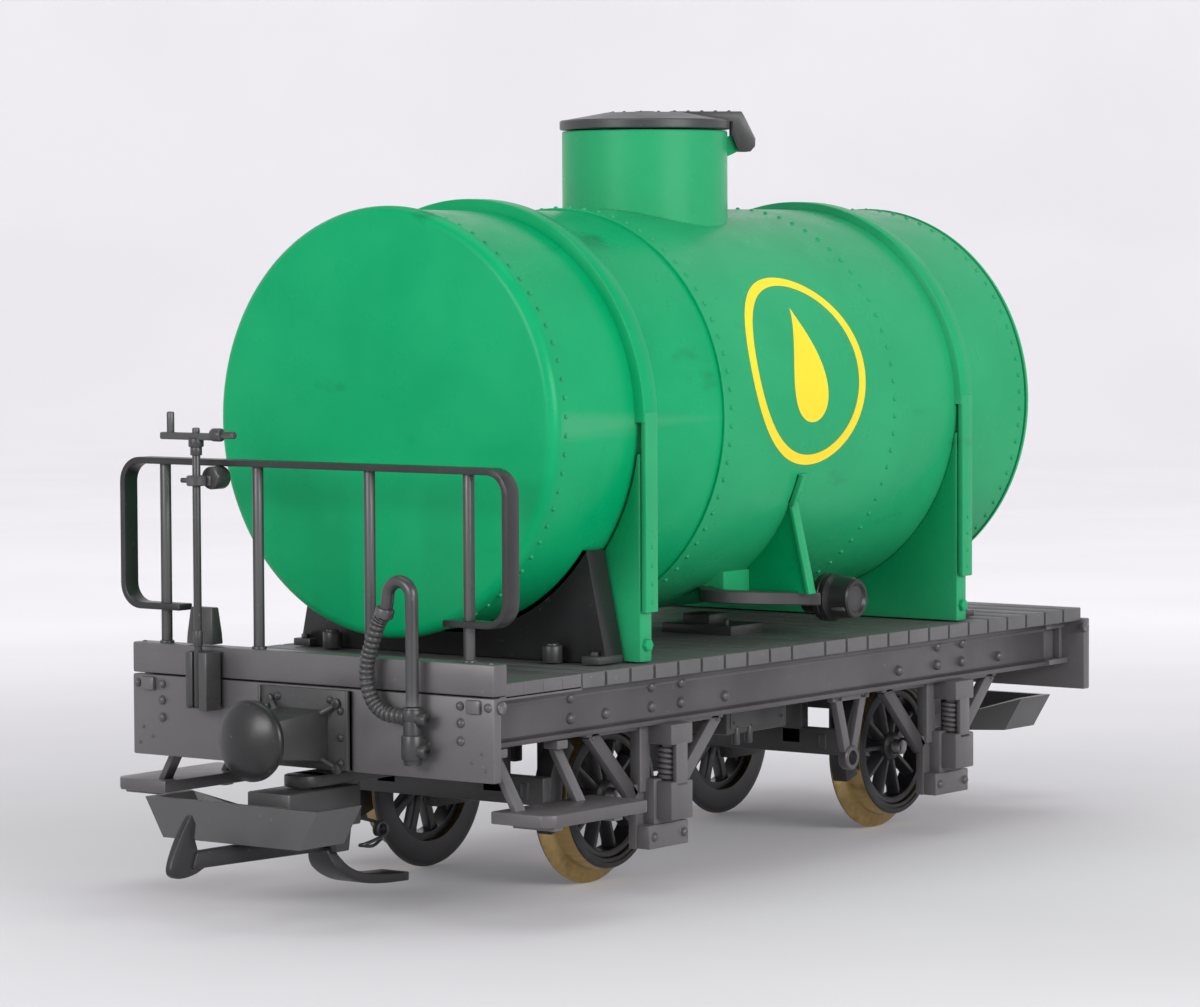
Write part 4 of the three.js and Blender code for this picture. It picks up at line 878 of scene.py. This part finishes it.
def underfloor_box():
    node = Span("underfloor_box")
    x0, x1, y0, y1 = node.lo.x, node.hi.x, node.lo.y + 0.6, node.hi.y
    piece = Piece("underfloor_tank")
    piece.box((x0, y0, 26.4), (x1, y1, 38), 0.5)
    piece.box((x0 + 1.2, y0 - 0.25, 27.6), (x1 - 1.2, y0 + 0.5, 36.8), 0.2)
    piece.box((x0 + 7, y0 + 5, 37.5), (x0 + 15, y0 + 13, node.hi.z), 0.2)
    for x in (x0 + 3.7, x0 + 8.3):
        piece.bar((x, y0 + 0.3, node.lo.z), (x, y0 + 0.3, 28), 0.85, 16, 0.25)
    for x in (x0 + 2.2, x1 - 2.2):
        for z in (28.8, 35.6):
            piece.dome((x, y0 - 0.25, z), (0, -1, 0), 0.4, 0.3, 10)
    piece.done(DARK, ["underfloor_box"])


# ---- platform end

RAIL = Span("end_railing")
POST_Y = (-38, -14, 14, 38)


def railing():
    x, half = RAIL.mid.x, 1.95
    top, reach, thick = RAIL.hi.z, RAIL.hi.y, 1.3
    low, foot, corner = 56.5, 33, 5

    def path(inset):
        side, high, base, r = reach - inset, top - inset, low + inset, corner - inset
        return [
            (foot, base), *arc((side - r, base + r), r, -90, 0, 8),
            *arc((side - r, high - r), r, 0, 90, 8), *arc((-side + r, high - r), r, 90, 180, 8),
            *arc((-side + r, base + r), r, 180, 270, 8), (-foot, base),
        ]

    piece = Piece("railing_frame")
    piece.prism("yz", [*path(0), *path(thick)[::-1]], (x - half, x + half), 0.22)
    for y in POST_Y:
        piece.bar((x, y, BEAM.hi.z - 1.5), (x, y, top - 0.5), 1.1, 20, 0.1)
        piece.bar((x, y, BEAM.hi.z - 0.5), (x, y, BEAM.hi.z + 0.5), 1.45, 20, 0.2)
    piece.done(IRON, ["end_railing"])


BRAKE = Span("brake_spindle")


def hand_brake():
    x, y, top = BRAKE.mid.x, BRAKE.mid.y, BRAKE.hi.z + 1.2
    piece = Piece("brake_rod")
    piece.bar((x, y, BRAKE.lo.z), (x, y, top - 1), 0.8, 24, 0.1)
    piece.bar((x, y, 50.2), (x, y, 53.4), 0.95, 24, 0.2)
    piece.done(IRON, ["brake_spindle"], "hand_brake")

    piece = Piece("brake_handle")
    piece.bar((x, y, top - 1.6), (x, y, top + 0.2), 1.5, 24, 0.3)
    piece.bar((x, y, top - 3.2), (x, y, top - 1.5), 1.15, 24, 0.2)
    piece.box((x - 0.85, y - 5.6, top - 0.2), (x + 0.85, y + 8.8, top + 1.2), 0.3)
    piece.bar((x, y, top + 0.9), (x, y, top + 2.2), 0.75, 20, 0.25)
    piece.bar((x, y + 6.6, top + 1), (x, y + 6.6, top + 5.2), 0.75, 20, 0.3)
    piece.bar((x, y - 4.2, top + 0.9), (x, y - 6.8, top + 0.9), 1.3, 20, 0.4)
    piece.bar((x, y - 6.6, top + 0.9), (x, y - 10, top + 0.9), 0.75, 20, 0.3)
    piece.done(IRON, ["brake_crank"], "hand_brake")

    node = Span("brake_bearing")
    z = node.mid.z
    wall = [(-1, 0.95), (-1, 1.75), (-0.8, 1.95), (0.8, 1.95), (1, 1.75), (1, 0.95), (-1, 0.95)]
    piece = Piece("brake_steady")
    piece.lathe("z", (x, y, 0), [(z + along, r) for along, r in wall], 32)
    piece.bar((x + 1.3, y - 2.2, z + 0.5), (RAIL.mid.x - 0.6, y - 2.2, z + 0.5), 2.25, 32, 0.5)
    piece.box((x + 1.0, y - 2.6, z - 1), (x + 2.4, y - 0.6, z + 1), 0.2)
    piece.bar((x, y + 1.7, z), (x - 0.4, y + 3.6, z), 0.5, 14, 0.15)
    piece.done(IRON, ["brake_bearing"])


def brake_foot():
    x, y = BRAKE.mid.x, BRAKE.mid.y
    node = Span("brake_pedestal")
    z0, z1 = node.lo.z, node.hi.z
    piece = Piece("brake_wedge")

    def ring(inset, z):
        x0, x1 = node.lo.x + inset, node.hi.x - inset
        y0, y1 = node.lo.y + 1.6 + inset, node.hi.y + 1.6 - inset
        return [(x0, y0, z), (x1, y0, z), (x1, y1, z), (x0, y1, z)]

    piece.loft([ring(0, z0), ring(0.1, z0 + 2), ring(0.6, z1)], 0.25)
    piece.done(IRON, ["brake_pedestal"])

    back = Span("brake_channel").hi.x
    piece = Piece("brake_bracket")
    low, high = 38.3, 49.2
    piece.box((back, y - 3.2, low), (back - 0.8, y + 2.9, high), 0.2)
    piece.box((back, y + 1.1, low), (x - 0.6, y + 2.9, high), 0.25)
    piece.box((back, y - 3.2, low - 0.5), (x - 1.3, y - 1.1, high), 0.25)
    piece.box((back, y - 2.4, low), (x - 1.2, y + 2.4, BRAKE.lo.z - 0.1), 0.25)
    piece.done(IRON, ["brake_channel"])


def brake_pipe():
    cock = Span("hose_cock")
    x, y = -END_X - 3, -28.3
    bend, bend_z, top = 2.9, 62, cock.hi.z
    rise = [(x, y, z) for z in (top + 0.2, 48, 55, 60.5)]
    over = [(x, y + bend + u, bend_z + v) for u, v in arc((0, 0), bend, 165, 15, 6)]
    down = [(x, y + 2 * bend + 0.2, bend_z - 1.5), (x, y + 2 * bend + 0.8, bend_z - 3.2)]
    piece = Piece("brake_hose")
    piece.tube([*rise, *over, *down], 1.25, 20, 5)
    start = Vector((x, y + 2 * bend + 0.55, bend_z - 2.2))
    piece.bar(start, start + Vector((0, 0.55, -1.8)), 1.85, 24, 0.3)
    route = [
        (x, y + 2 * bend + 0.9, bend_z - 3.4), (x, y + 2 * bend + 2.2, 57), (x, -18.7, 53.2),
        (x, -17.5, 49.6), (x, -17.4, 45.6), (x, -18.9, 41.9), (x, -21.8, 39.9), (x, y + 2.2, 39.5),
    ]
    ribs = 25
    piece.tube(route, lambda t: 1.2 + 0.34 * abs(sin(pi * ribs * t)) ** 0.6, 18, 32)
    piece.done(RUBBER, ["brake_pipe"])

    piece = Piece("hose_tap")
    piece.bar((x, y, cock.lo.z), (x, y, top), 1.75, 28, 0.3)
    piece.bar((x, y, 31.4), (x, y, 36.2), 2.15, 28, 0.4)
    piece.bar((x, y, top - 2.6), (x, y, top - 0.4), 2.0, 28, 0.3)
    for z, r in ((39.2, 1.25), (33.2, 1.35)):
        piece.bar((x, y - 1, z), (x, y - 3.6, z), r, 24, 0.3)
        piece.hexagon((x, y - 3.4, z), (0, -1, 0), r * 0.6, 0.2)
    piece.bar((x, y + 1, 39.5), (x, y + 2.4, 39.5), 1.75, 24, 0.25)
    piece.box((x, y - 1.2, 31.6), (cock.hi.x, y + 1.2, 35.4), 0.25)
    piece.done(DARK, ["hose_cock"])


def buffer(end):
    piece = Piece(f"buffer_{end}_body", turned_to(ENDS[end] * END_X, end))
    z, half = 34.5, 11.3
    piece.box((-1.2, -half, 28), (-0.3, half, 43.3), 0.15)
    for y in (-half, half - 0.6):
        piece.box((-1.7, y, 28), (-0.3, y + 0.6, 43.3), 0.15)

    def ring(x, wide, tall):
        return [(x, -wide, z - tall), (x, wide, z - tall), (x, wide, z + tall), (x, -wide, z + tall)]

    piece.loft([ring(-0.8, 6, 4.9), ring(-2.4, 5.9, 4.8), ring(-15.8, 4.2, 3.6)], 0.35)
    crown = [
        (-19.4, 0), (-19.36, 1.2), (-19.2, 2.6), (-18.8, 4.2), (-18.2, 5.9), (-17.6, 7.0), (-17.2, 7.6),
    ]
    rim = [(-16.8, 7.8), (-16.3, 7.8), (-15.8, 7.6), (-15.3, 6.6), (-15.0, 5.2), (-14.9, 3), (-14.9, 0)]
    piece.lathe("x", (0, 0, z), [*crown, *rim], 64)
    places = [(side * 9.2, height) for side in BOTH for height in (29.4, 34.3, 39.4)]
    for y, height in [*places, (6.6, 41.4), (-6.6, 41.4)]:
        piece.dome((-1.2, y, height), (-1, 0, 0), 0.85, 0.65, 16)
    for side in BOTH:
        for tall in BOTH:
            start = Vector((-1.2, side * 8.4, z + tall * 6.3))
            piece.bar(start, (-3.0, side * 5.6, z + tall * 4.3), 0.5, 14, 0.15)
            piece.bar(start + Vector((0.3, 0, 0)), start - Vector((0.9, 0, 0)), 1.0, 16, 0.3)
    piece.done(IRON, [f"buffer_{end}"])


# ---- couplers


def coupler(end):
    piece = Piece(f"coupler_{end}_loop", turned_to(PIVOT_X[end], end))
    bottom, top, wall = 15.6, 23.1, 1.5
    front, corner, back = -21.7, -8.8, -2

    def outline(inset, flare):
        """The loop's outline, wider at the top by the flare."""
        wide = 21.5 - flare - inset
        return [
            (front + inset, -wide), (corner - inset * 0.5, -wide), (back - inset * 1.7, -6 - inset * 0.3),
            (back - inset * 1.7, 6 + inset * 0.3), (corner - inset * 0.5, wide), (front + inset, wide),
        ]

    def ring(inset, upper):
        """One closed line of the wall; the two slanting back walls sink towards the shank."""
        tops = (top, top, 18.6, 18.6, top, top)
        points = outline(inset, 0 if upper else 4.5)
        return [(x, y, z if upper else bottom) for (x, y), z in zip(points, tops)]

    rings = [ring(0, False), ring(0, True), ring(wall, True), ring(wall, False)]
    piece.loft([*rings, rings[0]], closed=False)
    piece.box((-10.8, -5.3, 16.4), (10.4, 5.3, 24.1), 0.35)
    for side in BOTH:
        piece.prism("zx", [(17, 3.2), (11.4, 4.2), (11.4, 7.8), (17, 8.8)], (side * 2.6, side * 4.4), 0.2)
        piece.box((-8, side * 5.0, 17.2), (6, side * 5.7, 19.6), 0.2)
    piece.done(DARK, [f"coupler_{end}"], f"{end}_coupler")

    screw = Piece(f"coupler_{end}_bolt", turned_to(PIVOT_X[end], end))
    screw.bar((0, 0, 14.9), (0, 0, 16.6), 3.1, 32, 0.3)
    screw.bar((0, 0, 16.5), (0, 0, 24.3), 1.7, 20, 0.1)
    screw.box((-2.4, -0.3, 14.85), (2.4, 0.3, 15.1), 0.1)
    screw.done(STEEL, [f"coupler_screw_{end}"], f"carrier_{end}")


def hook():
    piece = Piece("hook_arm", turned_to(PIVOT_X["front"], "front"))
    pivot_x, pivot_z = 6, 13.4
    blade = [
        (-31.2, 22.3), (-33.1, 22.5), (-35.1, 20.4), (-36.9, 17.8), (-38.4, 15.0), (-39.1, 13.0),
        (-38.9, 11.7), (-37.6, 10.9), (-35.2, 10.7), (-32.2, 11.1), (-29.6, 12.0), (-27, 12.4),
    ]
    blade = [(p.x, p.z) for p in smooth_route([(x, 0, z) for x, z in blade], 3)]
    back = [(-27, 15.2), (-31.4, 15.3), (-32.4, 18.0), (-32.0, 20.6)]
    piece.prism("zx", [(z, x) for x, z in [*blade[3:], *back]], (-0.75, 0.75), 0.3)
    arm = [(-33.4, 12.2), (4.5, 11.4), (7.6, 11.8), (8.2, 13.4), (6.6, 15.1), (2, 15.1), (-32.4, 15.3)]
    piece.prism("zx", [(z, x) for x, z in arm], (-1.3, 1.3), 0.3)
    route = [(4.6, 12.0), (5.6, 9.6), (8.6, 7.2), (13.2, 5.4), (19.5, 4.5), (27.3, 4.1)]
    centre = smooth_route([(x, 0, z) for x, z in route], 6)
    rings = []
    for i, at in enumerate(centre):
        ahead = (centre[min(i + 1, len(centre) - 1)] - centre[max(i - 1, 0)]).normalized()
        up = Vector((-ahead.z, 0, ahead.x))
        half = 1.15 - 0.3 * i / len(centre)
        wide = 2.4 + min(1, i / 8)
        section = [(-wide, -half), (wide, -half), (wide, half), (-wide, half)]
        rings.append([at + Vector((0, y, 0)) + up * h for y, h in section])
    piece.loft(rings, 0.2)
    piece.bar((pivot_x, -4.3, pivot_z), (pivot_x, 4.3, pivot_z), 0.9, 20, 0.15)
    piece.bar((pivot_x, -2.2, pivot_z), (pivot_x, 2.2, pivot_z), 1.9, 24, 0.2)
    piece.done(DARK, ["coupler_hook"], "hook")

    spring = Piece("hook_spring", turned_to(PIVOT_X["front"], "front"))
    wire = [(10, -1.4, 17.4), (14, -1.4, 16.9), (17.4, -1.4, 16.1)]
    for k in range(21):
        a = radians(90 - 45 * k)
        wire.append((19.4 + 1.25 * cos(a), -1.5 - 0.1 * k, 14.3 + 1.25 * sin(a)))
    wire += [
        (16.2, -3.7, 12.4), (13.6, -3.4, 11.9), (13.2, -2.6, 11.7), (14.6, -1.8, 11.4),
        (19.5, -0.6, 10.7), (23.2, 0.3, 11.6),
    ]
    spring.tube(wire, 0.34, 10, 4)
    spring.done(DARK, body="front_coupler")


# ---- carriers and wheelsets


def axle_carrier(end):
    node = Span(f"axle_carrier_{end}")
    x = AXLE_X[end]
    outward = ENDS[end]
    piece = Piece(f"carrier_{end}_frame", Matrix.Translation((x, 0, 0)))
    inner, outer, top = 13.6, 16.8, 33.2
    roof = 30.4
    for side in BOTH:
        cheek = [(13.4, -6), (13.4, 6), (22, 8), (top, 8), (top, -8), (22, -8)]
        piece.prism("zx", cheek, (side * inner, side * outer), 0.3)
        piece.bar((0, side * (inner - 0.1), AXLE_Z), (0, side * (outer + 0.7), AXLE_Z), 3.0, 28, 0.3)
        piece.box((-22.3, side * 11, 20), (-19.3, side * 16, top - 0.5), 0.3)
        shoe = [
            *arc((AXLE_Z, 0), TREAD_R + 1.05, 253, 312, 14),
            *arc((AXLE_Z, 0), TREAD_R + 5.4, 312, 253, 14),
        ]
        piece.prism("zx", shoe, (side * 22.4, side * 26.2), 0.3)
        piece.box((-22.5, side * 20.6, 19.2), (-19.1, side * 22.6, 22.4), 0.2)
    piece.box((-22.3, -outer, roof), (9, outer, top), 0.3)
    piece.box((-22.3, -26.2, 18), (-19.3, 26.2, 23.6), 0.4)
    piece.bar((0, 0, top - 1), (0, 0, node.hi.z), 5, 40, 0.2)
    piece.box((outward * 6.5, -9, 24.4), (outward * 9, 9, top), 0.3)
    reach = PIVOT_X[end] - x
    low, high, half = 24.4, 26.7, 4
    piece.box((outward * 7, -half, low), (reach, half, high), 0.3)
    piece.bar((reach, 0, low), (reach, 0, high), half, 40, 0.3)
    piece.box((outward * 12, -1, high - 0.2), (reach - outward * 8, 1, high + 1.4), 0.25)
    piece.done(DARK, [f"axle_carrier_{end}"], f"carrier_{end}")

    screw = Piece(f"carrier_{end}_bolt", Matrix.Translation((x, 0, 0)))
    screw.bar((0, 0, 28.4), (0, 0, roof - 0.15), 3.4, 32, 0.3)
    screw.bar((0, 0, 30), (0, 0, 42.5), 1.8, 20, 0.1)
    screw.box((-2.6, -0.35, 28.2), (2.6, 0.35, 28.6), 0.1)
    screw.done(STEEL, [f"carrier_screw_{end}"])


SPOKES = 10


def wheelset(end):
    x = AXLE_X[end]
    body = f"wheelset_{end}"
    place = Matrix.Translation((x, 0, AXLE_Z))
    axle = Piece(f"axle_{end}_rod", place)
    axle.bar((0, -28, 0), (0, 28, 0), 1.6, 32, 0.5)
    for side in BOTH:
        axle.bar((0, side * 18.2, 0), (0, side * 20.2, 0), 2.5, 32, 0.2)
    axle.done(STEEL, [f"axle_{end}"], body)
    for name, side in SIDES.items():
        tyre(end, name, side, place, body)
        wheel_centre(end, name, side, place, body)


def tyre(end, name, side, place, body):
    """The flange's back is black, the tread is brass and the outer face is grey, as on the model."""
    inner, outer, bore = 20.0, 26.5, 12.7
    flange = [(0, 1.6), (0.1, 0.7), (0.35, 0.15), (0.7, 0), (1.05, 0.3), (1.4, 1.4), (1.7, 2.4)]
    profile = [(inner, bore), *[(inner + along, FLANGE_R - drop) for along, drop in flange]]
    profile += [(inner + 2.1, TREAD_R + 0.15), (inner + 2.6, TREAD_R)]
    profile += [(outer - 0.35, TREAD_R - 0.28), (outer - 0.08, TREAD_R - 0.45), (outer, TREAD_R - 0.75)]
    profile += [(outer, 13.6), (outer - 0.25, 13.4), (outer - 0.25, bore), (inner, bore)]
    piece = Piece(f"tyre_{end}_{name}_ring", place)
    piece.lathe("y", (0, 0, 0), [(side * y, r) for y, r in profile], 128)
    brass, grey, black = 0, 1, 2
    for face in piece.mesh.faces:
        depth = abs(face.calc_center_median().y)
        face.material_index = grey if depth > outer - 0.3 else black if depth < inner + 0.75 else brass
    piece.done((BRASS, IRON, BLACK), [f"tyre_{end}_{name}"], body)


def wheel_centre(end, name, side, place, body):
    piece = Piece(f"wheel_{end}_{name}_spokes", place)
    rim_out, rim_in, hub = 12.6, 11.1, 3.1
    inner, outer = 21.4, 25.5
    ring = [
        (inner, rim_in), (inner, rim_out), (outer, rim_out), (outer + 0.2, rim_out - 0.3),
        (outer + 0.2, rim_in + 0.5), (outer - 0.1, rim_in + 0.1), (inner, rim_in),
    ]
    piece.lathe("y", (0, 0, 0), [(side * y, r) for y, r in ring], 96)
    boss = [
        (20.4, 1.7), (20.4, hub - 0.3), (20.7, hub), (25.0, hub), (25.6, hub - 0.5), (25.9, hub - 1.1),
        (25.9, 1.7), (20.4, 1.7),
    ]
    piece.lathe("y", (0, 0, 0), [(side * y, r) for y, r in boss], 48)
    for i in range(SPOKES):
        turn = Matrix.Rotation(2 * pi * i / SPOKES, 4, "Y")
        rings = []
        for r, wide in ((hub - 0.8, 1.2), (6.5, 0.95), (9.8, 0.95), (rim_in + 0.4, 1.3)):
            section = [
                (-wide, 22.0), (wide, 22.0), (wide, 22.5), (0.4, 24.7), (-0.4, 24.7), (-wide, 22.5),
            ]
            rings.append([turn @ Vector((r, side * depth, across)) for across, depth in section])
        piece.loft(rings, 0.12)
    piece.done(BLACK, [f"wheel_centre_{end}_{name}"], body)


# ---- studio


def stage():
    """A round paper sweep that glows as painted light: a flat floor that curves up into one wall all
    round.
    """
    floor = bpy.data.meshes.new("floor")
    flat, wall, height, sides, curve_steps = 1.7, 2.4, 2.2, 96, 10
    rows = [(0.3, 0.0), (flat, 0.0)]
    for k in range(1, curve_steps + 1):
        a = pi / 2 * k / curve_steps
        rows.append((flat + (wall - flat) * sin(a), (wall - flat) * (1 - cos(a))))
    rows.append((wall, height))
    turns = [2 * pi * k / sides for k in range(sides)]
    verts = [(0, 0, 0)] + [(r * cos(a), r * sin(a), z) for r, z in rows for a in turns]
    faces = [(0, 1 + k, 1 + (k + 1) % sides) for k in range(sides)]
    for row in range(len(rows) - 1):
        for k in range(sides):
            a, b = 1 + row * sides + k, 1 + row * sides + (k + 1) % sides
            faces.append((a, a + sides, b + sides, b))
    floor.from_pydata(verts, [], faces)
    floor.shade_smooth()
    material, tree, shader = node_tree("studio_paper_painted_glow")
    fibre = noise(tree, 6, 3)
    tree.links.new(
        mix(tree, ramp(tree, fibre, 0.4, 0.6), (0.50, 0.495, 0.51), (0.53, 0.525, 0.54)),
        shader.inputs["Base Color"],
    )
    shader.inputs["Roughness"].default_value = 0.85
    # The paper glows: this is painted light. The glow is weakest near the middle, as painted shade on the
    # floor under the wagon, and strongest out on the wall.
    shader.inputs["Emission Color"].default_value = (0.97, 0.95, 0.98, 1)
    place = tree.nodes.new("ShaderNodeTexCoord")
    length = tree.nodes.new("ShaderNodeVectorMath")
    length.operation = "LENGTH"
    tree.links.new(place.outputs["Object"], length.inputs[0])
    tree.links.new(
        ramp(tree, length.outputs["Value"], 0.08, 0.6, 0.09, 0.45), shader.inputs["Emission Strength"],
    )
    floor.materials.append(material)
    made = show("floor", floor)


def light(name, at, towards, size, power):
    data = bpy.data.lights.new(name, "AREA")
    data.shape = "RECTANGLE"
    data.size, data.size_y = size
    data.energy = power
    made = show(name, data)
    turn = (Vector(towards) - Vector(at)).to_track_quat("-Z", "Y")
    made.matrix_world = Matrix.Translation(at) @ turn.to_matrix().to_4x4()


def lighting():
    bpy.context.scene.view_settings.view_transform = "Standard"
    world = bpy.data.worlds.new("studio")
    bpy.context.scene.world = world
    world.use_nodes = True
    background = world.node_tree.nodes["Background"]
    background.inputs["Color"].default_value = (0.95, 0.94, 0.97, 1)
    background.inputs["Strength"].default_value = 0.30
    middle = (0, 0, 0.08)
    light("key", (-0.25, -1.3, 0.42), middle, (0.9, 0.4), 12)
    light("end_fill", (-1.3, 0.1, 0.45), middle, (0.6, 0.4), 8)
    light("top", (0.1, 0.1, 1.4), middle, (1.3, 1.1), 7)


# ---- assembly

for maker in (lid, outlet, emblem, plank_deck, platform, underfloor_box, railing, hand_brake, brake_foot):
    maker()
for maker in (brake_pipe, hook, tank_barrel, sump, dome):
    maker()
for end_name in ENDS:
    for maker in (
        tank_end, tank_strap, saddle, cradle, headstock, buffer, coupler, axle_carrier, wheelset,
    ):
        maker(end_name)
    for side_name in SIDES:
        axle_guard(end_name, side_name)
for side_name in SIDES:
    for maker in (solebar, footboard, brake_hanger):
        maker(side_name)
stage()
lighting()
